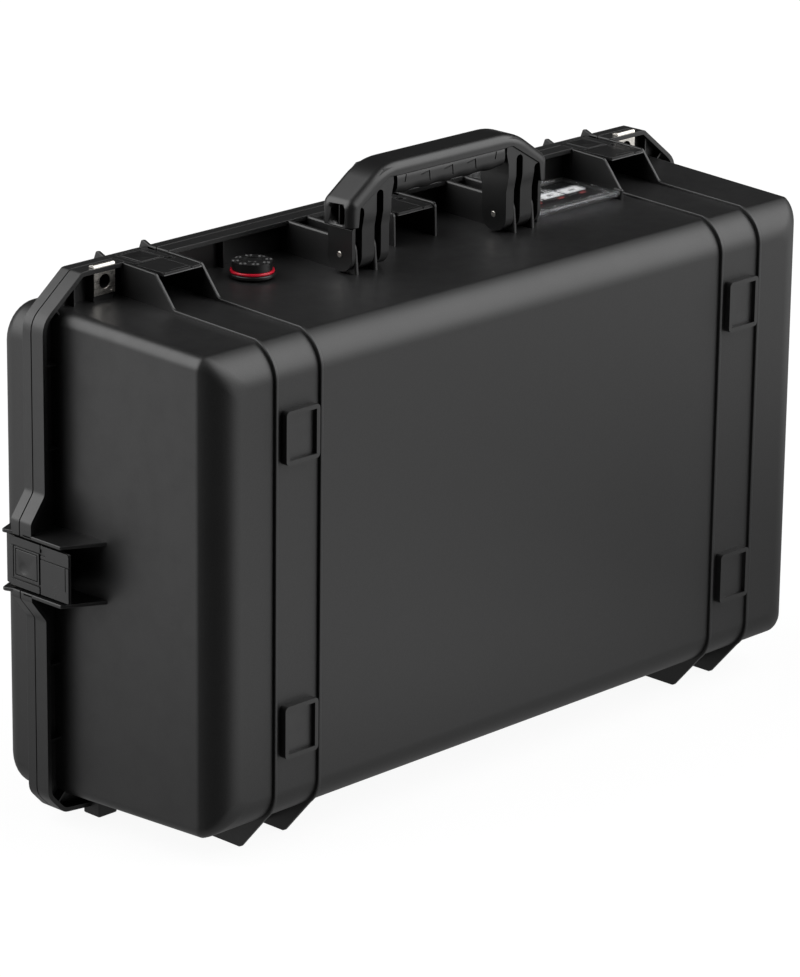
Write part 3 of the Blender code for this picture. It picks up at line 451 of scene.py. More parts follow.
# ---------------------------------------------------------------- deep half
def deep_half():
    """Everything moulded in one with the deep half."""
    rim_y = PARTING_Y - RIM_GAP
    grown = rim_y - TUB_MOUTH_Y
    half_x = TUB_HALF_X + TUB_END_DRAFT * grown
    low_z, high_z = TUB_BOTTOM_Z - TUB_SIDE_DRAFT * grown, TUB_TOP_Z + TUB_SIDE_DRAFT * grown
    edge = round_edge(FILLET_INSET, FILLET_DEPTH, CREASE)
    rings = tub_rings(TUB_FACE_Y, rim_y, TUB_END_DRAFT, TUB_SIDE_DRAFT, edge, -1)
    tub = drawn_pan("tub", rim_y, half_x, low_z, high_z, TUB_CORNER, rings)
    pieces = [open_pan(tub, rim_y)]
    hole = inside(half_x, low_z, high_z, TUB_CORNER, 0.5 * WALL)
    pieces += flange("deep_flange", BASE_FLANGE_Y, rim_y, rim_y - FLANGE_WEB, rim_y, hole)
    path = base_rib_path()
    for side in (-1.0, 1.0):
        pieces += [rib(side * x, path) for x in RIB_X]
        pieces += [pad(side * 0.5 * sum(RIB_X), z) for z in PAD_CENTRES_Z]
        pieces += end_foot(side) + end_guards(side)
        pieces.append(ear(side, BASE_FLANGE_Y + 0.0016, rim_y - 0.0002, 0.403, 0.4312))
        pieces += handle_brackets(side) + gussets(side)
    pieces.append(card_ledge())
    return gather("deep_half", pieces + knuckles(False))


def pad(centre_x, centre_z):
    """A raised square frame that the next case in a stack rests on."""
    outline = rounded_rectangle(centre_x - PAD_HALF_X, centre_x + PAD_HALF_X,
                                centre_z - PAD_HALF_Z, centre_z + PAD_HALF_Z, 0.0035, 5)
    rim = border("pad", outline, PAD_RIM, "y", PAD_TOP_Y, TUB_FACE_Y + 0.5 * WALL, 0.0009)
    low, high = PAD_TOP_Y + PAD_RECESS, TUB_FACE_Y + 0.5 * WALL
    floor = block("pad_floor", (centre_x - PAD_HALF_X + 0.001, low, centre_z - PAD_HALF_Z + 0.001),
                  (centre_x + PAD_HALF_X - 0.001, high, centre_z + PAD_HALF_Z - 0.001), 0.0)
    return gather("pad", [rim, floor])


def end_foot(side):
    """The foot under the flange's end and the web between a band's ribs."""
    low, high = sorted((side * 0.29, side * 0.309))
    foot = block("foot", (low, 0.04, 0.0), (high, 0.058, 0.024), 0.0015, 3)
    low, high = sorted((side * RIB_X[0], side * RIB_X[1]))
    return [foot, block("foot_web", (low, -0.058, 0.0045), (high, -0.055, 0.027))]


def end_guards(side):
    """Plates above and below an end latch."""
    outline = ease([(side * 0.3325, 0.001, 0.0), (side * GUARD_HALF_X, 0.018, 0.0015),
                    (side * GUARD_HALF_X, 0.06, 0.0), (side * 0.3325, 0.06, 0.0)])
    pieces = []
    for edge in (-1.0, 1.0):
        near = SIDE_LATCH_Z + edge * CHANNEL_HALF
        pieces.append(slab("end_guard", outline, "z", *sorted((near, near + edge * GUARD_THICK)), 0.0008, 3))
    return pieces


def ear(side, low_y, high_y, low_z, high_z):
    """A block that the padlock's shackle goes through."""
    x = side * EAR_X
    outline = rounded_rectangle(x - EAR_HALF, x + EAR_HALF, low_z, high_z, 0.001, 2)
    piece = slab("ear", outline, "y", low_y, high_y, 0.0)
    bore = slab("bore", circle((x, EAR_HOLE_Z), EAR_HOLE_R), "y", low_y - 0.01, high_y + 0.01, 0.0)
    return soften(carve(piece, bore), 0.0004, 2)


def handle_brackets(side):
    """The middle latch's guard and the two walls that a handle leg turns between."""
    guard = ease([(0.06, FLANGE_TOP_Z, 0.0), (0.011, FLANGE_TOP_Z - 0.0006, 0.0045),
                  (0.01, 0.402, 0.0), (0.06, 0.4038, 0.0)], steps=6)
    bracket = ease([(0.06, FLANGE_TOP_Z, 0.0), (-0.0215, FLANGE_TOP_Z - 0.002, 0.01),
                    (-0.024, 0.401, 0.0), (0.06, 0.4038, 0.0)], steps=8)
    x = side * (CHANNEL_HALF + 0.5 * GUARD_THICK)
    pieces = [slab("guard", guard, "x", x - 0.5 * GUARD_THICK, x + 0.5 * GUARD_THICK, 0.0009, 3)]
    for x in BRACKET_X:
        pieces.append(slab("bracket", bracket, "x", side * x - 0.0022, side * x + 0.0022, 0.0019, 5))
    return pieces


def small_ribs(side, places, low_y, high_y):
    """Small ribs at places of near x, far x, low z and high z."""
    pieces = []
    for near, far, low_z, high_z in places:
        low_x, high_x = sorted((side * near, side * far))
        pieces.append(block("gusset", (low_x, low_y, low_z), (high_x, high_y, high_z), GUSSET_EDGE, 1))
    return pieces


def gussets(side):
    """Small ribs in the recess between the tub and the lip."""
    low_y, high_y, half = BASE_FLANGE_Y + 0.003, PARTING_Y - RIM_GAP - 0.001, GUSSET_HALF
    places = [(0.333, 0.349, z - half, z + half) for z in (0.07, 0.13, 0.3, 0.365)]
    places += [(x - half, x + half, 0.0085, 0.0235) for x in (0.06, 0.135, 0.18, 0.225, 0.27)]
    places += [(0.165 - half, 0.165 + half, 0.404, 0.429), (0.317 - half, 0.317 + half, 0.4, 0.427)]
    pieces = small_ribs(side, places, low_y, high_y)
    for turn, middle in ((45.0, (0.334, 0.4045)), (-45.0, (0.335, 0.0215))):
        brace = block("brace", (-BRACE_HALF, low_y, -half), (BRACE_HALF, high_y, half), GUSSET_EDGE, 1)
        place = Matrix.Translation((side * middle[0], 0.0, middle[1]))
        pieces.append(twin(brace, "brace", place @ Matrix.Rotation(math.radians(-side * turn), 4, "Y")))
        bpy.data.objects.remove(brace)
    return pieces


def card_ledge():
    """The ledge and hinge lugs of the card holder."""
    (low_x, low_y), (high_x, high_y) = CARD_LOW, CARD_HIGH
    root, lug_top = 0.401, CARD_Z + 0.0048
    low, high = (low_x - 0.002, low_y + 0.004, root), (high_x + 0.002, high_y + 0.002, CARD_Z)
    pieces = [block("ledge", low, high, 0.0006)]
    for near, far in ((low_x - 0.0036, low_x - 0.0003), (high_x + 0.0003, high_x + 0.0036)):
        pieces.append(block("lug", (near, low_y - 0.003, root), (far, low_y + 0.006, lug_top), 0.0012, 3))
    return gather("card_ledge", pieces)


# ---------------------------------------------------------------- lid
def shallow_half():
    """Everything moulded in one with the lid."""
    rim_y = PARTING_Y + RIM_GAP
    edge = round_edge(LID_FILLET, LID_FILLET, 0.0)
    rings = [(LID_FLANGE_Y, 0.0, 0.0)] + tub_rings(LID_FACE_Y, LID_FLANGE_Y, LID_DRAFT, LID_DRAFT, edge, 1)
    pan = drawn_pan("pan", rim_y, LID_HALF_X, LID_BOTTOM_Z, LID_TOP_Z, LID_CORNER, rings)
    pieces = [open_pan(pan, rim_y)]
    hole = inside(LID_HALF_X, LID_BOTTOM_Z, LID_TOP_Z, LID_CORNER, 0.5 * WALL)
    lip, web = flange("lid_flange", rim_y, LID_FLANGE_Y, rim_y, rim_y + FLANGE_WEB + 0.002, hole)
    groove = border("groove", gasket_outline(), 0.005, "y", rim_y - 0.002, rim_y + 0.004, 0.0)
    pieces += [lip, carve(web, groove)]
    path = lid_rib_path()
    for side in (-1.0, 1.0):
        pieces += [rib(side * x, path) for x in RIB_X]
        pieces.append(ear(side, rim_y + 0.0002, LID_FLANGE_Y - 0.0006, 0.399, 0.4306))
        pieces += lid_gussets(side)
    return gather("lid_moulding", pieces + lid_guards() + knuckles(True))


def gasket_outline():
    """Where the seal runs in the lid's flange."""
    grow = 0.0055
    return rounded_rectangle(-LID_HALF_X - grow, LID_HALF_X + grow, LID_BOTTOM_Z - 0.001, LID_TOP_Z + grow,
                             LID_CORNER, 9)


def lid_gussets(side):
    """Small ribs behind the lid's lip."""
    half = GUSSET_HALF
    places = [(0.34, 0.349, z - half, z + half) for z in (0.07, 0.13, 0.3, 0.365)]
    places += [(x - half, x + half, 0.4, 0.429) for x in (0.06, 0.11, 0.16, 0.205)]
    return small_ribs(side, places, PARTING_Y + 0.005, LID_FLANGE_Y - 0.0015)


def lid_guards():
    """Two plates beside each latch that hold its pivot pin."""
    pieces = []
    for word, place in channels().items():
        root = -0.0285 if word.startswith("front") else -0.0262
        profile = [(0.064, -0.0008, 0.0), (0.07, -0.0004, 0.004), (0.0775, 0.0026, 0.001),
                   (0.08, 0.0022, 0.001), (0.0925, root, 0.0), (0.064, root, 0.0)]
        outline = ease([(y, FLANGE_TOP_Z + out, radius) for y, out, radius in profile])
        for edge in (-1.0, 1.0):
            low, high = sorted((edge * CHANNEL_HALF, edge * (CHANNEL_HALF + GUARD_THICK)))
            guard = slab("lid_guard", outline, "x", low, high, 0.0008, 3)
            pieces.append(twin(guard, "lid_guard", place))
            bpy.data.objects.remove(guard)
    return pieces


def lid_seal():
    """The rubber ring in the lid's groove, with a rounded lip."""
    rim_y = PARTING_Y + RIM_GAP
    outline = ease(gasket_outline(), 0.0)
    ring = border("seal", outline, 0.0044, "y", rim_y + 0.0001, rim_y + 0.0036, 0.0014)
    return gather("lid_seal", [ring])


# ---------------------------------------------------------------- latches
LATCH_FACE = FLANGE_TOP_Z - 0.0027     # the lever's face, under the raised panels
PANEL_TOP = FLANGE_TOP_Z - 0.0014
LATCH_HALF = 0.0192
TIP_Y = 0.0105


def latch_look():
    """The lever at the middle of the top side: lever, raised panels and pull lip."""
    under = FLANGE_TOP_Z - 0.0067
    pivot = (PIVOT_Y, FLANGE_TOP_Z - PIVOT_DEPTH)
    profile = [(TIP_Y, LATCH_FACE - 0.0008), (TIP_Y + 0.0008, LATCH_FACE), (PIVOT_Y - 0.002, LATCH_FACE)]
    profile += arc(pivot, PIVOT_DEPTH - 0.0028, 80, -90, 14)
    profile += [(0.0705, FLANGE_TOP_Z - 0.015), (0.0435, FLANGE_TOP_Z - 0.015), (0.042, under)]
    profile += [(TIP_Y + 0.016, under), (TIP_Y + 0.004, under + 0.0022), (TIP_Y, under + 0.0026)]
    lever = slab("lever", profile, "x", -LATCH_HALF, LATCH_HALF, 0.0)
    low, high = (-0.0104, 0.0451, FLANGE_TOP_Z - 0.012), (0.0104, 0.0694, FLANGE_TOP_Z + 0.001)
    window = block("window", low, high, 0.0)
    pieces = [soften(carve(lever, window), 0.0007, 3)]
    base = LATCH_FACE - 0.0005
    seam = 0.0082
    lower = [(-LATCH_HALF, TIP_Y + 0.0002, 0.001), (seam, TIP_Y + 0.0002, 0.0006), (seam, 0.0138, 0.0),
             (-0.0105, 0.0138, 0.0), (-0.0105, 0.0145, 0.0), (seam, 0.0145, 0.0), (seam, 0.0415, 0.0006),
             (-LATCH_HALF, 0.0415, 0.0006)]
    upper = [(seam + 0.0008, TIP_Y + 0.0002, 0.0006), (LATCH_HALF, TIP_Y + 0.0002, 0.0026),
             (LATCH_HALF, 0.0415, 0.0006), (0.0164, 0.0415, 0.0), (0.0164, 0.0365, 0.0), (0.0112, 0.0365, 0.0),
             (0.0112, 0.0415, 0.0), (seam + 0.0008, 0.0415, 0.0006)]
    top_strip = [(0.0128, 0.0424, 0.0006), (LATCH_HALF, 0.0424, 0.0006), (LATCH_HALF, 0.0735, 0.0006),
                 (0.0128, 0.0735, 0.0006)]
    low_strip = [(-LATCH_HALF, 0.0424, 0.001), (-0.014, 0.0424, 0.001), (-0.014, 0.075, 0.0006),
                 (-LATCH_HALF, 0.075, 0.0006)]
    heel = [(-0.0128, 0.0722, 0.0006), (0.0119, 0.0722, 0.0006),
            (0.0119, 0.076, 0.0006), (-0.0128, 0.076, 0.0006)]
    for name, outline, top in (("lower", lower, PANEL_TOP), ("upper", upper, PANEL_TOP - 0.0002),
                               ("top_strip", top_strip, PANEL_TOP - 0.0003),
                               ("low_strip", low_strip, PANEL_TOP + 0.0004), ("heel", heel, PANEL_TOP)):
        pieces.append(slab(name, ease(outline), "z", base, top, 0.00035, 2))
    rim = [(-0.0128, 0.0432), (0.0119, 0.0432), (0.0119, 0.0714), (-0.0128, 0.0714)]
    hole = rounded_rectangle(-0.0105, 0.0105, 0.045, 0.0695, 0.0006, 2)
    plate = slab("button_rim", ease(rim, 0.0008), "z", base, PANEL_TOP, 0.0)
    plate = carve(plate, slab("hole", hole, "z", base - 0.01, PANEL_TOP + 0.01, 0.0))
    pieces.append(soften(plate, 0.0003, 2))
    return gather("latch_model", pieces)


def button_look():
    """The square button with a shallow thumb dimple."""
    top = PANEL_TOP + 0.0001
    outline = rounded_rectangle(-0.01, 0.01, 0.0455, 0.069, 0.0006, 2)
    button = slab("button", outline, "z", FLANGE_TOP_Z - 0.0032, top, 0.0)
    clear()
    bpy.ops.mesh.primitive_uv_sphere_add(segments=48, ring_count=32, radius=0.0165,
                                         location=(-0.0035, 0.06, top + 0.0156))
    dimple = bpy.context.object
    bpy.ops.object.transform_apply(location=True)
    carve(button, dimple)
    soften(button, 0.0004, 2)
    return gather("button_model", [button])


# ---------------------------------------------------------------- handle
def sweep(name, section, path):
    """A section in Y and Z carried along X through (x, z) steps."""
    first_x, first_z = path[0]
    piece = flat(name, [(y, z + first_z) for y, z in section], "x", first_x)
    edit(piece)
    everything()
    for (x, z), (next_x, next_z) in zip(path, path[1:]):
        bpy.ops.mesh.extrude_region_move(TRANSFORM_OT_translate={"value": (next_x - x, 0.0, next_z - z)})
    face_outwards()
    return piece


def handle_top():
    """The sled over the whole handle: big round edges and closed ends with a hollow."""
    half, end_x, bend_x, end_z = 0.0165, 0.1102, 0.0735, 0.46
    slope = (HANDLE_TOP_Z - end_z) / (end_x - bend_x)
    side = [(0.059, 0.4744, 0.0), (0.068, 0.475, 0.003), (0.0994, 0.456, 0.002), (0.101, 0.441, 0.0),
            (end_x, 0.441, 0.0), (end_x, end_z, 0.01), (bend_x, HANDLE_TOP_Z, 0.055)]
    outline = ease(side + [(-point[0],) + tuple(point[1:]) for point in reversed(side)], steps=8)
    sled = slab("sled", outline, "y", HANDLE_Y - half, HANDLE_Y + half, 0.0)

    def on_crest(middle, way):
        x = abs(middle.x)
        crest = HANDLE_TOP_Z - max(x - bend_x, 0.0) * slope
        outer = abs(middle.y - HANDLE_Y) > half - 0.0002
        return abs(way.y) < 0.1 and outer and (middle.z > crest - 0.0036 or x > end_x - 0.0008)

    choose(sled, "EDGE", on_crest)
    bpy.ops.mesh.bevel(offset=0.0074, segments=9, affect="EDGES")
    leave()
    soften(sled, 0.0007, 2, 40.0)
    for turn in (-1.0, 1.0):
        low, high = sorted((turn * 0.102, turn * 0.117))
        hollow = rounded_rectangle(-0.0214, -0.0066, 0.4425, 0.4586, 0.0042, 6)
        carve(sled, slab("hollow", hollow, "x", low, high, 0.0))
    return smooth(sled, 40.0)


def handle_leg():
    """The forked leg on the right: three lugs with two slots between them."""
    outline = [(0.065, 0.4048), (0.074, 0.4048), (0.074, 0.463)]
    outline += arc((0.0775, 0.463), 0.0035, 180, 0, 10)[1:-1] + [(0.081, 0.463), (0.081, 0.4048)]
    outline += [(0.0945, 0.4048), (0.0945, 0.4525)]
    outline += arc((0.098, 0.4525), 0.0035, 180, 0, 10)[1:-1] + [(0.1015, 0.4525), (0.1015, 0.4048)]
    outline += [(0.1052, 0.4048), (0.1052, 0.439), (0.102, 0.4425), (0.102, 0.46)]
    outline += [(0.0735, 0.4815), (0.064, 0.482), (0.0625, 0.47), (0.065, 0.46)]
    half_top, half_low = 0.0152, 0.013
    leg = slab("leg", outline, "y", HANDLE_Y - half_top, HANDLE_Y + half_top, 0.0)
    for height in (0.438, 0.444, 0.45):
        edit(leg)
        everything()
        bpy.ops.mesh.bisect(plane_co=(0.0, 0.0, height), plane_no=(0.0, 0.0, 1.0))
        leave()
    for vertex in leg.data.vertices:
        share = min(max((vertex.co.z - 0.438) / 0.012, 0.0), 1.0)
        half = half_low + (half_top - half_low) * share * share * (3.0 - 2.0 * share)
        vertex.co.y = HANDLE_Y + math.copysign(half, vertex.co.y - HANDLE_Y)
    choose(leg, "EDGE", lambda middle, way: middle.z < 0.406 and abs(way.x) > 0.9)
    bpy.ops.mesh.bevel(offset=0.012, segments=8, affect="EDGES")
    leave()
    soften(leg, 0.0009, 3)
    webs = [block("web", (0.0735, HANDLE_Y - 0.0025, 0.438), (0.0815, HANDLE_Y + 0.0025, 0.468), 0.0005),
            block("web", (0.094, HANDLE_Y - 0.0025, 0.438), (0.102, HANDLE_Y + 0.0025, 0.457), 0.0005)]
    end = block("end_bar", (0.1005, HANDLE_Y - 0.0032, 0.4425), (0.1086, HANDLE_Y - 0.0018, 0.46), 0.0004)
    return gather("leg", [leg, end] + webs)


def handle_sleeve():
    """The soft grip under the sled, with shallow finger waves and engraved ticks."""
    half, corner = 0.016, 0.0085
    section = rounded_rectangle(HANDLE_Y - half, HANDLE_Y + half, -0.0105, 0.0105, corner, 8)
    reach, steps = 0.0597, 48
    path = [(-reach + 2.0 * reach * step / steps, 0.469) for step in range(steps + 1)]
    grip = sweep("grip", section, path)
    for vertex in grip.data.vertices:
        if vertex.co.z < 0.469:
            depth = (0.469 - vertex.co.z) / 0.0105
            vertex.co.z -= 0.0007 * depth * math.cos(vertex.co.x / 0.0235 * 2.0 * math.pi)
    marks = []
    for face in (-1.0, 1.0):
        wall = HANDLE_Y + face * half
        low, high = sorted((wall - face * 0.0007, wall + face * 0.002))
        for x in (-0.0255, 0.0, 0.0255):
            tick = [(x - 0.0085, 0.4712), (x + 0.0012, 0.4728), (x + 0.0022, 0.464), (x + 0.001, 0.4639),
                    (x + 0.0001, 0.4716), (x - 0.0084, 0.4702)]
            marks.append(slab("tick", tick, "y", low, high, 0.0))
        for x in (-0.05, 0.05):
            dash = [(x - 0.0004, 0.4738), (x + 0.0007, 0.4738), (x - 0.001, 0.468), (x - 0.0021, 0.468)]
            marks.append(slab("dash", dash, "y", low, high, 0.0))
    carve(grip, *marks)
    return smooth(grip, 40.0)


def pin_look(name, side):
    """A handle pin with rounded heads."""
    low, high = sorted((side * 0.0644, side * 0.1058))
    return slab(name, circle((HANDLE_Y, HANDLE_Z), 0.0024, 24), "x", low, high, 0.0006, 3)


# ---------------------------------------------------------------- small parts
def padlock_plate(name, side):
    """Bent steel plate with a hole and a stamped dot."""
    thick, front, top = 0.0012, BASE_FLANGE_Y + 0.0013, FLANGE_TOP_Z + 0.0003
    x, half = side * EAR_X, EAR_HALF + 0.0005
    bend = arc((front + 0.0012, top - 0.0012 + thick), 0.0024, 180, 90, 5)
    inner = arc((front + 0.0012, top - 0.0012 + thick - 0.0001), 0.0012, 90, 180, 5)
    profile = [(front - thick, 0.4104)] + bend + [(front + 0.0048, top + thick)]
    profile += [(front + 0.0048, top)] + [(inner[0][0], top)] + [(front, inner[-1][1])] + [(front, 0.4104)]
    plate = slab(name, profile, "x", x - half, x + half, 0.0)
    hole = slab("hole", circle((x, EAR_HOLE_Z), EAR_HOLE_R - 0.0003, 40), "y", 0.04, 0.056, 0.0)
    face = front - thick
    dot = slab("dot", circle((x - side * 0.0062, 0.4135), 0.0011, 16), "y", face - 0.001, face + 0.0004, 0.0)
    carve(plate, hole, dot)
    return soften(plate, 0.00025, 2)


def turned(name, low, high, radius, edge, steps=3, sides=64):
    """A disc about the vent's axis."""
    return slab(name, circle((VENT_X, VENT_Y), radius, sides), "z", low, high, edge, steps)


def vent_disc():
    """Disc and stem under the seal."""
    disc = turned("disc", 0.4058, 0.4086, 0.018, 0.0008)
    return gather("vent_disc", [disc, turned("stem", 0.39, 0.4112, 0.007, 0.0003)])


def vent_cap_look():
    """Round cap with a dished top and finger dimples round its edge."""
    cap = turned("cap", 0.411, 0.4176, 0.0156, 0.0)
    cutters = [turned("dish", 0.4168, 0.419, 0.0088, 0.0)]
    for index in range(8):
        angle = math.radians(45.0 * index + 12.0)
        clear()
        bpy.ops.mesh.primitive_uv_sphere_add(segments=24, ring_count=16, radius=0.0042, location=(
            VENT_X + 0.0128 * math.cos(angle), VENT_Y + 0.0128 * math.sin(angle), 0.4203))
        cutters.append(bpy.context.object)
        bpy.ops.object.transform_apply(location=True)
    carve(cap, *cutters)
    knob = turned("knob", 0.416, 0.4174, 0.004, 0.0005)
    return gather("vent_knob", [soften(cap, 0.0006, 3), knob])


def vent_ring():
    """Coloured sealing ring."""
    return border("vent_ring", circle((VENT_X, VENT_Y), 0.0171, 64), 0.0074, "z", 0.4087, 0.4108, 0.0007)


def card_cover():
    """Clear door with a thick near edge, a raised rim and a knuckled barrel."""
    (low_x, low_y), (high_x, high_y) = CARD_LOW, CARD_HIGH
    floor = CARD_Z + 0.0013
    outline = rounded_rectangle(low_x, high_x, low_y, high_y, 0.0015, 4)
    pieces = [slab("pane", outline, "z", floor, floor + 0.0012, 0.0003)]
    pieces.append(border("pane_rim", outline, 0.0018, "z", floor + 0.0011, floor + 0.0021, 0.0003))
    low, high = (low_x, low_y, floor - 0.0008), (high_x, low_y + 0.006, floor + 0.0022)
    pieces.append(block("near_edge", low, high, 0.0008, 3))
    axis = (low_y, CARD_Z + 0.0021)
    spans = [(low_x + 0.0006, low_x + 0.013, 0.0027), (low_x + 0.0136, low_x + 0.044, 0.002),
             (low_x + 0.0446, low_x + 0.05, 0.0027), (low_x + 0.0506, high_x - 0.0136, 0.002),
             (high_x - 0.013, high_x - 0.0006, 0.0027), (low_x - 0.0034, high_x + 0.0034, 0.0011)]
    for low, high, radius in spans:
        pieces.append(slab("barrel", circle(axis, radius, 24), "x", low, high, 0.0004))
    for x in (low_x + 0.02, high_x - 0.02):
        low, high = (x - 0.006, high_y - 0.003, floor + 0.0019), (x + 0.006, high_y, floor + 0.0036)
        pieces.append(block("catch", low, high, 0.0007))
    return gather("card_cover", pieces)


def card_print():
    """The card and the plain shapes printed on it: dark card, white fields, dark figures, red dashes."""
    (low_x, low_y), (high_x, high_y) = CARD_LOW, CARD_HIGH
    top, ink = CARD_Z + 0.0009, 0.00008
    outline = rounded_rectangle(low_x + 0.003, high_x - 0.003, low_y + 0.007, high_y - 0.002, 0.001, 3)
    card = slab("card_sheet", outline, "z", CARD_Z + 0.0003, top, 0.0)
    white, dark, red = [], [], []
    field, step, near = 0.023, 0.0256, low_y + 0.0285
    for index in range(3):
        x = high_x - 0.007 - field - step * index
        white.append(block("field", (x, near, top - ink), (x + field, near + 0.0124, top + ink), 0.0))
        middle = (x + 0.45 * field, near + 0.0058)
        dark.append(slab("figure", circle(middle, 0.002, 5 + index), "z", top, top + 2.0 * ink, 0.0))
        dark.append(block("figure", (middle[0] + 0.0005, middle[1] - 0.0012, top),
                          (middle[0] + 0.0052, middle[1] + 0.0006, top + 2.0 * ink), 0.0))
        low, high = (x + 0.01, near - 0.0068, top - ink), (x + 0.016, near - 0.0042, top + ink)
        red.append(block("dash", low, high, 0.0))
    for row in range(4):
        y = near + 0.015 + 0.003 * row
        for start, end in ((0.006, 0.03), (0.033, 0.052), (0.056, 0.064)):
            white.append(block("line", (low_x + start, y, top - ink),
                               (low_x + end - 0.002 * row, y + 0.0011, top + ink), 0.0))
    return card, gather("card_fields", white), gather("card_figures", dark), gather("card_dashes", red)


# ---------------------------------------------------------------- foam
def foam_pockets():
    """Low x, low z, high x, high z and depth of each cut-out."""
    pockets = [(-0.285, 0.085, -0.02, 0.25, 0.095), (-0.285, 0.275, -0.06, 0.355, 0.06)]
    for index in range(4):
        low_x = 0.03 + 0.066 * index
        pockets.append((low_x, 0.245, low_x + 0.05, 0.355, 0.07))
    return pockets + [(0.03, 0.06, 0.21, 0.215, 0.08), (0.235, 0.06, 0.29, 0.215, 0.055)]


def tub_filling(name, top_y, rings):
    """A block that fills the tub from a level downwards, clear of its walls."""
    clearance, drawn = WALL + FOAM_GAP, TUB_MOUTH_Y - top_y
    inset_z = TUB_SIDE_DRAFT * drawn + clearance
    return drawn_pan(name, top_y, TUB_HALF_X - TUB_END_DRAFT * drawn - clearance, TUB_BOTTOM_Z + inset_z,
                     TUB_TOP_Z - inset_z, TUB_CORNER - clearance, rings)


def foam_insert():
    """Foam block with soft-edged cut-outs and room for the vent's nut."""
    low_y = TUB_FACE_Y + WALL + FLOOR_PAD + 2.0 * FOAM_GAP
    depth = FOAM_TOP_Y - low_y
    foam = tub_filling("foam", FOAM_TOP_Y, [(low_y, TUB_END_DRAFT * depth, TUB_SIDE_DRAFT * depth)])
    cutters = []
    for low_x, low_z, high_x, high_z, deep in foam_pockets():
        outline = rounded_rectangle(low_x, high_x, low_z, high_z, 0.012, 6)
        cutters.append(slab("pocket", outline, "y", FOAM_TOP_Y - deep, FOAM_TOP_Y + 0.01, 0.0))
    low, high = (VENT_X - 0.02, VENT_Y - 0.02, 0.386), (VENT_X + 0.02, FOAM_TOP_Y + 0.01, 0.42)
    cutters.append(block("vent_room", low, high, 0.0))
    carve(foam, *cutters)
    return soften(foam, 0.0022, 4)


def floor_foam():
    """Flat pad under the insert."""
    low_y = TUB_FACE_Y + WALL + FOAM_GAP
    rings = [(low_y + 0.014, 0.0035, 0.0035), (low_y + 0.006, 0.0106, 0.0106), (low_y, 0.0198, 0.0198)]
    return smooth(tub_filling("floor_pad", low_y + FLOOR_PAD, rings), 30.0)


def lid_pad():
    """Convoluted foam: soft waves on the side that holds the contents, flat against the lid."""
    clearance = WALL + FOAM_GAP
    half_x, middle = LID_HALF_X - clearance, 0.5 * (LID_TOP_Z + LID_BOTTOM_Z)
    half_z, corner = 0.5 * (LID_TOP_Z - LID_BOTTOM_Z) - clearance, LID_CORNER - clearance
    clear()
    bpy.ops.mesh.primitive_grid_add(x_subdivisions=170, y_subdivisions=98, size=2.0)
    pad_piece = bpy.context.object
    pad_piece.name = pad_piece.data.name = "lid_pad"
    wave, pitch = 0.0042, 0.036
    for vertex in pad_piece.data.vertices:
        x, z = vertex.co.x * half_x, vertex.co.y * half_z
        over_x, over_z = abs(x) - (half_x - corner), abs(z) - (half_z - corner)
        if over_x > 0.0 and over_z > 0.0:
            u, v = over_x / corner, over_z / corner
            x = math.copysign(half_x - corner + corner * u * math.sqrt(1.0 - 0.5 * v * v), x)
            z = math.copysign(half_z - corner + corner * v * math.sqrt(1.0 - 0.5 * u * u), z)
        edge = min(1.0, (half_x - abs(x)) / 0.012, (half_z - abs(z)) / 0.012)
        height = math.sin(2.0 * math.pi * x / pitch) * math.sin(2.0 * math.pi * z / pitch)
        vertex.co = (x, LID_FOAM_Y + wave * (1.0 - max(edge, 0.0) * height), z + middle)
    deep_y = LID_FACE_Y - WALL - FOAM_GAP
    edit(pad_piece, "EDGE")
    bpy.ops.mesh.select_all(action="DESELECT")
    bpy.ops.mesh.select_non_manifold()
    y, size = LID_FOAM_Y + wave, 1.0
    for next_y, inset in ((deep_y - 0.012, 0.0), (deep_y - 0.004, 0.005), (deep_y, 0.012)):
        pull("y", next_y - y)
        next_size = 1.0 - inset / half_z
        bpy.ops.transform.resize(value=(next_size / size,) * 3, center_override=(0.0, next_y, middle))
        y, size = next_y, next_size
    bpy.ops.mesh.edge_face_add()
    face_outwards()
    return smooth(pad_piece, 60.0)


# ---------------------------------------------------------------- materials
def group_nodes(name, inputs, outputs):
    """An empty shader group with named sockets."""
    group = bpy.data.node_groups.new(name, "ShaderNodeTree")
    for label, kind, value in inputs:
        socket = group.interface.new_socket(label, in_out="INPUT", socket_type=kind)
        socket.default_value = value
    for label, kind in outputs:
        group.interface.new_socket(label, in_out="OUTPUT", socket_type=kind)
    return group, group.nodes.new("NodeGroupInput"), group.nodes.new("NodeGroupOutput")


def feed(tree, value, socket):
    """Link an output to a socket, or set the socket to a number or colour."""
    if isinstance(value, bpy.types.NodeSocket):
        tree.links.new(value, socket)
    else:
        socket.default_value = (*value, 1.0) if isinstance(value, tuple) else value


def wire(tree, node, **values):
    """Link or set several of a node's inputs, with _ for a space in their names."""
    for label, value in values.items():
        feed(tree, value, node.inputs[label.replace("_", " ")])
    return node


def object_place(tree):
    """Object coordinates."""
    return tree.nodes.new("ShaderNodeTexCoord").outputs["Object"]


def noise(tree, coordinates, scale, detail=2.0, roughness=0.5):
    """A noise texture on given coordinates."""
    node = tree.nodes.new("ShaderNodeTexNoise")
    wire(tree, node, Vector=coordinates, Scale=scale, Detail=detail, Roughness=roughness)
    return node.outputs["Fac"]


def compute(tree, operation, first, second, clamp=False):
    """One Math node."""
    node = tree.nodes.new("ShaderNodeMath")
    node.operation = operation
    node.use_clamp = clamp
    feed(tree, first, node.inputs[0])
    feed(tree, second, node.inputs[1])
    return node.outputs[0]


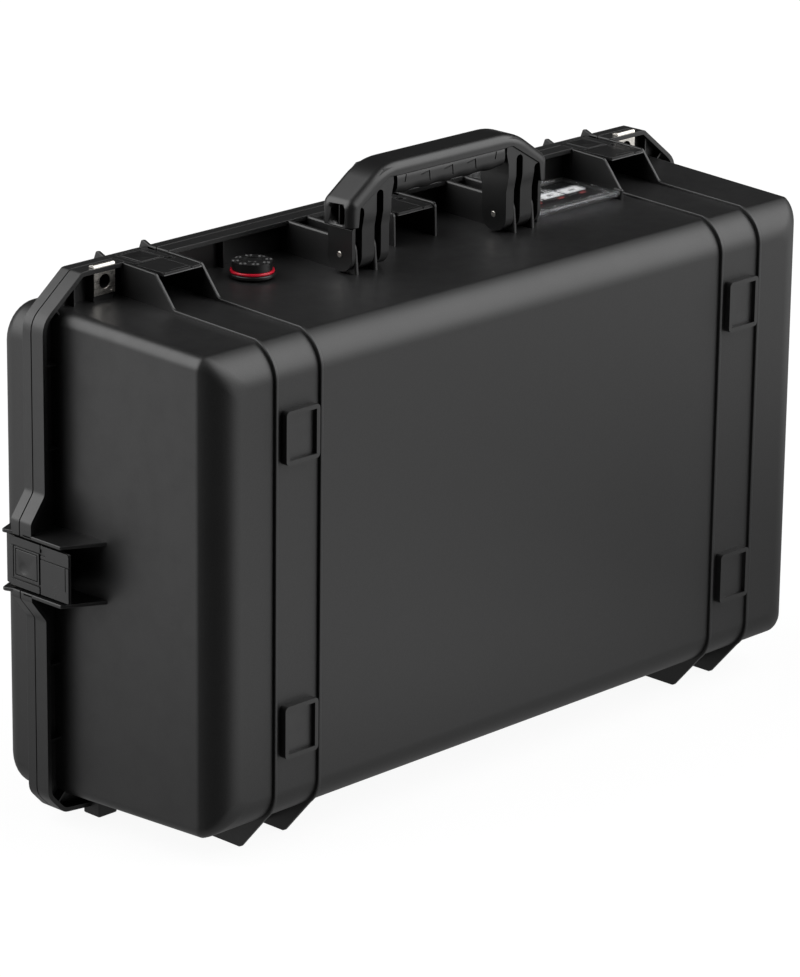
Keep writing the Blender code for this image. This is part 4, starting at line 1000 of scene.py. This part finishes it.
def remap(tree, value, low, high, new_low, new_high):
    """One Map Range node."""
    node = tree.nodes.new("ShaderNodeMapRange")
    for socket, number in zip(node.inputs, (value, low, high, new_low, new_high)):
        feed(tree, number, socket)
    return node.outputs["Result"]


def grain_group():
    """Spark-eroded grain of a moulded plastic: fine pits and slow cloudiness."""
    group, given, result = group_nodes(
        "Moulded grain", [("Size", "NodeSocketFloat", 1500.0)],
        [("Height", "NodeSocketFloat"), ("Speckle", "NodeSocketFloat"), ("Cloud", "NodeSocketFloat")])
    place = object_place(group)
    fine = noise(group, place, given.outputs["Size"], 3.0, 0.65)
    coarse = noise(group, place, compute(group, "MULTIPLY", given.outputs["Size"], 0.37), 2.0, 0.5)
    fine_share, coarse_share = compute(group, "MULTIPLY", fine, 0.6), compute(group, "MULTIPLY", coarse, 0.4)
    height = compute(group, "ADD", fine_share, coarse_share)
    group.links.new(height, result.inputs["Height"])
    group.links.new(remap(group, fine, 0.35, 0.65, 0.0, 1.0), result.inputs["Speckle"])
    cloud = noise(group, place, 9.0, 3.0, 0.55)
    group.links.new(remap(group, cloud, 0.3, 0.7, 0.0, 1.0), result.inputs["Cloud"])
    return group


def wear_and_highlight_group():
    """Handling wear and a painted highlight: convex edges smoother, and brighter as a painted highlight, and a few
    smoother rub patches.
    """
    group, given, result = group_nodes(
        "Handling wear and edge highlight", [("Amount", "NodeSocketFloat", 0.5)],
        [("Edge gloss and highlight", "NodeSocketFloat"), ("Rub", "NodeSocketFloat")])
    place = object_place(group)
    point = group.nodes.new("ShaderNodeNewGeometry").outputs["Pointiness"]
    # this edge mask paints a highlight into the colour and also lowers the roughness
    edge = remap(group, point, 0.505, 0.56, 0.0, 1.0)
    broken = remap(group, noise(group, place, 55.0, 4.0, 0.6), 0.3, 0.6, 0.35, 1.0)
    edge = compute(group, "MULTIPLY", compute(group, "MULTIPLY", edge, broken), given.outputs["Amount"], True)
    group.links.new(edge, result.inputs["Edge gloss and highlight"])
    rub = remap(group, noise(group, place, 21.0, 5.0, 0.7), 0.52, 0.75, 0.0, 1.0)
    group.links.new(compute(group, "MULTIPLY", rub, given.outputs["Amount"], True), result.inputs["Rub"])
    return group


def use(tree, group, **values):
    """Place a group in a material."""
    node = tree.nodes.new("ShaderNodeGroup")
    node.node_tree = group
    return wire(tree, node, **values)


def blank(name, roughness, metallic=0.0, specular=0.5):
    """A material with a Principled shader and its tree."""
    material = bpy.data.materials.new(name)
    material.use_nodes = True
    shader = material.node_tree.nodes["Principled BSDF"]
    wire(material.node_tree, shader, Roughness=roughness, Metallic=metallic, Specular_IOR_Level=specular)
    return material, material.node_tree, shader


def blend_colour(tree, share, first, second):
    """Mix two colours by a mask."""
    node = tree.nodes.new("ShaderNodeMix")
    node.data_type = "RGBA"
    for index, value in ((0, share), (6, first), (7, second)):
        feed(tree, value, node.inputs[index])
    return node.outputs[2]


def raise_bumps(tree, shader, height, strength, distance):
    """Drive the normal from a height."""
    bump = wire(tree, tree.nodes.new("ShaderNodeBump"), Strength=strength, Distance=distance, Height=height)
    wire(tree, shader, Normal=bump.outputs["Normal"])


def moulded(name, grain, wear_and_highlight, dark, light, low_rough, high_rough, size, depth, amount):
    """Black moulded plastic: grained, slightly cloudy, with edges painted brighter as a highlight."""
    material, tree, shader = blank(name, low_rough)
    texture = use(tree, grain, Size=size)
    wear_and_highlight_masks = use(tree, wear_and_highlight, Amount=amount)
    colour = blend_colour(tree, texture.outputs["Speckle"], dark, light)
    # painted highlight: convex edges take a colour brighter than the light speckle
    painted_edge_highlight = tuple(min(1.0, value * 2.2) for value in light)
    colour = blend_colour(tree, wear_and_highlight_masks.outputs["Edge gloss and highlight"], colour, painted_edge_highlight)
    rough = remap(tree, texture.outputs["Cloud"], 0.0, 1.0, low_rough, high_rough)
    for mask, share in (("Edge gloss and highlight", 0.14), ("Rub", 0.05)):
        rough = compute(tree, "SUBTRACT", rough, compute(tree, "MULTIPLY", wear_and_highlight_masks.outputs[mask], share))
    wire(tree, shader, Base_Color=colour, Roughness=rough)
    raise_bumps(tree, shader, texture.outputs["Height"], 0.35, depth)
    return material


def steel(name, colour, size):
    """Brushed stainless steel with fine scratches."""
    material, tree, shader = blank(name, 0.3, 1.0)
    place = object_place(tree)
    stretch = wire(tree, tree.nodes.new("ShaderNodeMapping"), Vector=place)
    stretch.inputs["Scale"].default_value = (0.05, 1.0, 1.0)
    lines = noise(tree, stretch.outputs["Vector"], size, 4.0, 0.6)
    dull = noise(tree, place, 240.0, 4.0, 0.6)
    worn = tuple(value * 0.55 for value in colour)
    mixed = blend_colour(tree, remap(tree, dull, 0.35, 0.7, 0.0, 1.0), colour, worn)
    wire(tree, shader, Base_Color=mixed, Roughness=remap(tree, lines, 0.3, 0.7, 0.22, 0.42))
    raise_bumps(tree, shader, lines, 0.25, 0.00005)
    return material


def foam_material(name, dark, light):
    """Open-cell foam: small cells painted dark as shade in their hollows, between lighter struts."""
    material, tree, shader = blank(name, 0.95, 0.0, 0.2)
    place = object_place(tree)
    cells = wire(tree, tree.nodes.new("ShaderNodeTexVoronoi"), Vector=place, Scale=900.0)
    pore_depth_and_shade = remap(tree, cells.outputs["Distance"], 0.1, 0.75, 0.0, 1.0)
    patch = noise(tree, place, 30.0, 3.0, 0.6)
    mask = compute(tree, "MULTIPLY", pore_depth_and_shade, remap(tree, patch, 0.3, 0.7, 0.6, 1.0))
    # painted shade: the middle of each cell takes the dark colour
    wire(tree, shader, Base_Color=blend_colour(tree, mask, dark, light))
    raise_bumps(tree, shader, pore_depth_and_shade, 0.6, 0.0004)
    return material


def plain(name, colour, shade, roughness, scale, depth, specular=0.5):
    """A painted, printed or rubber surface with a little mottling."""
    material, tree, shader = blank(name, roughness, 0.0, specular)
    place = object_place(tree)
    mottle = noise(tree, place, scale, 3.0, 0.6)
    patches = remap(tree, mottle, 0.3, 0.7, 0.0, 1.0)
    rough = remap(tree, mottle, 0.2, 0.8, roughness - 0.05, roughness + 0.06)
    wire(tree, shader, Base_Color=blend_colour(tree, patches, colour, shade), Roughness=rough)
    raise_bumps(tree, shader, mottle, 0.2, depth)
    return material


def clear_material(name):
    """Clear polished plastic with a faint haze."""
    material, tree, shader = blank(name, 0.06)
    wire(tree, shader, Transmission_Weight=1.0, Alpha=0.3, IOR=1.45)
    place = object_place(tree)
    haze = noise(tree, place, 160.0, 3.0, 0.6)
    colour = blend_colour(tree, haze, (0.96, 0.97, 1.0), (0.86, 0.89, 0.97))
    wire(tree, shader, Base_Color=colour, Roughness=remap(tree, haze, 0.3, 0.7, 0.02, 0.07))
    return material


def dress(piece, material):
    """Give a piece one material."""
    piece.data.materials.clear()
    piece.data.materials.append(material)
    return piece


def stand_for(piece, material, body, node):
    """Dress a piece, let it ride on a body, and have it stand for a CAD node."""
    dress(piece, material)
    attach(piece, body)
    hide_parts(node)


# ---------------------------------------------------------------- making the case
grain, wear_and_highlight = grain_group(), wear_and_highlight_group()
shell_black = moulded("shell_black_look", grain, wear_and_highlight, (0.0032, 0.0032, 0.0033), (0.0075, 0.0075, 0.0076),
                      0.42, 0.46, 900.0, 0.00022, 0.55)
trim_black = moulded("trim_black_look", grain, wear_and_highlight, (0.003, 0.003, 0.0031), (0.006, 0.006, 0.0061),
                     0.34, 0.4, 2200.0, 0.00006, 0.6)
grip_rubber = moulded("grip_rubber_look", grain, wear_and_highlight, (0.003, 0.003, 0.0031), (0.006, 0.006, 0.0061),
                      0.4, 0.48, 1200.0, 0.00008, 0.4)
stainless = steel("stainless_look", (0.72, 0.69, 0.64), 1800.0)
seal_red = plain("seal_red_look", (0.62, 0.008, 0.03), (0.45, 0.004, 0.018), 0.32, 300.0, 0.00005)
seal_black = plain("gasket_look", (0.022, 0.022, 0.022), (0.035, 0.035, 0.035), 0.72, 260.0, 0.0001)
# the darker foam colour is painted shade in the cells
charcoal_foam = foam_material("foam_look", (0.01, 0.01, 0.011), (0.06, 0.06, 0.064))
card_dark = plain("card_dark_look", (0.003, 0.003, 0.003), (0.006, 0.006, 0.006), 0.8, 400.0, 0.00002, 0.1)
card_white = plain("card_white_look", (0.95, 0.95, 0.94), (0.9, 0.9, 0.89), 0.7, 400.0, 0.00002)
card_red = plain("card_red_look", (0.5, 0.03, 0.03), (0.35, 0.02, 0.02), 0.6, 400.0, 0.00002)
clear_plastic = clear_material("clear_plastic_look")

stand_for(deep_half(), shell_black, "base", "base_shell")
stand_for(shallow_half(), shell_black, "lid", "lid_shell")
stand_for(lid_seal(), seal_black, "lid", "lid_gasket")

models = (("latch_", dress(latch_look(), trim_black)), ("button_", dress(button_look(), trim_black)))
for word, place in channels().items():
    for kind, model in models:
        copy = twin(model, kind + "look_" + word, place)
        stand_for(copy, trim_black, kind + word, kind + word)
for kind, model in models:
    bpy.data.objects.remove(model)

right_leg = handle_leg()
left_leg = mirrored(right_leg, "left_leg")
handle = gather("handle_moulding", [handle_top(), right_leg, left_leg])
stand_for(handle, trim_black, "handle", "handle_frame")
stand_for(handle_sleeve(), grip_rubber, "handle", "handle_grip")

for side, word in ((-1.0, "left"), (1.0, "right")):
    plate = padlock_plate("padlock_look_" + word, side)
    stand_for(plate, stainless, "base", "padlock_plate_" + word)
    pin = pin_look("handle_pin_look_" + word, side)
    stand_for(pin, stainless, "base", "handle_pin_" + word)

stand_for(vent_disc(), trim_black, "base", "vent_body")
stand_for(vent_ring(), seal_red, "base", "vent_seal")
stand_for(vent_cap_look(), trim_black, "base", "vent_cap")

stand_for(card_cover(), clear_plastic, "card_window", "card_window")
card, fields, figures, dashes = card_print()
for piece, material in ((card, card_dark), (fields, card_white), (figures, card_dark), (dashes, card_red)):
    dress(piece, material)
    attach(piece, "base")
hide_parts("card")

for piece, body, node in ((foam_insert(), "base", "base_foam_insert"),
                          (floor_foam(), "base", "base_foam_floor"),
                          (lid_pad(), "lid", "lid_foam")):
    stand_for(piece, charcoal_foam, body, node)

for name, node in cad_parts.items():
    if "pin" in name or "spring" in name:
        node.data.materials.clear()
        node.data.materials.append(stainless)
    elif name == "vent_nut":
        node.data.materials.clear()
        node.data.materials.append(trim_black)


# ---------------------------------------------------------------- floor, light and camera
def step_node(tree, value, low, high, new_low, new_high):
    """A Map Range node with soft ends."""
    result = remap(tree, value, low, high, new_low, new_high)
    result.node.interpolation_type = "SMOOTHSTEP"
    return result


def studio_floor():
    """A plain pale floor: white to the camera, with a faint contact shadow.

    What the case mirrors of it is a painted glow, dark in the quarter towards the camera, darker near the case as
    a painted shadow of it, dimmed round one spot, and brighter away from the case.
    """
    clear()
    bpy.ops.mesh.primitive_plane_add(size=30.0)
    floor = bpy.context.object
    floor.name = "studio_floor"
    material, tree, shader = blank("floor_look", 1.0, 0.0, 0.0)
    place = object_place(tree)
    split = tree.nodes.new("ShaderNodeSeparateXYZ")
    tree.links.new(place, split.inputs[0])
    x = compute(tree, "SUBTRACT", split.outputs["X"], -TUB_HALF_X)
    y = compute(tree, "SUBTRACT", split.outputs["Y"], TUB_FACE_Y)
    squares = compute(tree, "ADD", compute(tree, "MULTIPLY", x, x), compute(tree, "MULTIPLY", y, y))
    away = compute(tree, "SQRT", squares, 0.0)
    towards = [compute(tree, "MULTIPLY", value, share) for value, share in zip((x, y), CAMERA_WAY)]
    towards = compute(tree, "ADD", *towards)
    sector = step_node(tree, compute(tree, "DIVIDE", towards, away), *DARK_SECTOR, 1.0, 0.0)
    # painted shadow of the case: the glow is darker near the case
    beside = compute(tree, "MAXIMUM", compute(tree, "MULTIPLY", x, -0.6), compute(tree, "MULTIPLY", y, -1.6))
    near = step_node(tree, beside, 0.0, CASE_SHADOW_REACH, CASE_SHADOW_GLOW, FAR_FLOOR)
    # painted shade: the glow is dimmed round DIM_SPOT
    span = tree.nodes.new("ShaderNodeVectorMath")
    span.operation = "DISTANCE"
    tree.links.new(place, span.inputs[0])
    span.inputs[1].default_value = DIM_SPOT
    fade = step_node(tree, span.outputs["Value"], *DIM_REACH, DIM_TO, 1.0)
    mirrored_light = compute(tree, "MULTIPLY", compute(tree, "MULTIPLY", sector, near), fade)
    seen = tree.nodes.new("ShaderNodeLightPath").outputs["Is Camera Ray"]
    glow = tree.nodes.new("ShaderNodeMix")
    tree.links.new(seen, glow.inputs[0])
    tree.links.new(mirrored_light, glow.inputs[2])
    glow.inputs[3].default_value = FLOOR_GLOW
    wire(tree, shader, Base_Color=(FLOOR_SHADE,) * 3, Emission_Color=(1.0,) * 3, Emission_Strength=glow.outputs[0])
    floor.data.materials.append(material)


FLOOR_SHADE, FLOOR_GLOW = 0.08, 0.93
DARK_SECTOR = (0.4, 0.72)           # cosines away from the camera's direction
CAMERA_WAY = (-0.718, -0.696)        # towards the camera in X and Y
# floor glow near the case, a painted shadow, and far from it
CASE_SHADOW_GLOW, FAR_FLOOR, CASE_SHADOW_REACH = 0.31, 0.9, 0.4
DIM_SPOT, DIM_REACH, DIM_TO = (0.66, -0.4, 0.0), (0.1, 0.55), 0.15
DOME_FILL, BOX_LIGHT = 0.03, 3.4
BOX_EDGE = (0.7, 0.92)              # cosines away from the middle of each soft light
FRONT_BOX, BACK_BOX = (0.579, -0.579, 0.574), (-0.6275, 0.5265, 0.574)
studio_floor()

world = bpy.data.worlds.new("studio")
bpy.context.scene.world = world
world.use_nodes = True
tree = world.node_tree
background = tree.nodes["Background"]
background.inputs["Color"].default_value = (1.0, 1.0, 1.0, 1.0)
direction = tree.nodes.new("ShaderNodeTexCoord").outputs["Generated"]
boxes = []
for middle in (FRONT_BOX, BACK_BOX):
    towards = tree.nodes.new("ShaderNodeVectorMath")
    towards.operation = "DOT_PRODUCT"
    tree.links.new(direction, towards.inputs[0])
    towards.inputs[1].default_value = middle
    boxes.append(step_node(tree, towards.outputs["Value"], *BOX_EDGE, DOME_FILL, BOX_LIGHT))
dome = compute(tree, "MAXIMUM", *boxes)
sky = tree.nodes.new("ShaderNodeMix")
tree.links.new(tree.nodes.new("ShaderNodeLightPath").outputs["Is Camera Ray"], sky.inputs[0])
tree.links.new(dome, sky.inputs[2])
sky.inputs[3].default_value = 1.0
tree.links.new(sky.outputs[0], background.inputs["Strength"])
bpy.context.scene.view_settings.view_transform = "Standard"

camera_data = bpy.data.cameras.new("camera")
camera = bpy.data.objects.new("camera", camera_data)
bpy.context.scene.collection.objects.link(camera)
azimuth, elevation, roll = -0.8015, 0.3217, 0.012
level = math.cos(elevation)
back = Vector((math.sin(azimuth) * level, -math.cos(azimuth) * level, math.sin(elevation)))
right = Vector((math.cos(azimuth), math.sin(azimuth), 0.0))
up = back.cross(right)
rolled_right = right * math.cos(roll) + up * math.sin(roll)
rolled_up = up * math.cos(roll) - right * math.sin(roll)
turn = Matrix((rolled_right, rolled_up, back)).transposed()
camera.matrix_world = Matrix.Translation((-2.60445, -2.49812, 1.40644)) @ turn.to_4x4()
camera_data.lens = 177.8
camera_data.sensor_width = 36.0
camera_data.clip_end = 100.0
bpy.context.scene.camera = camera

clear()
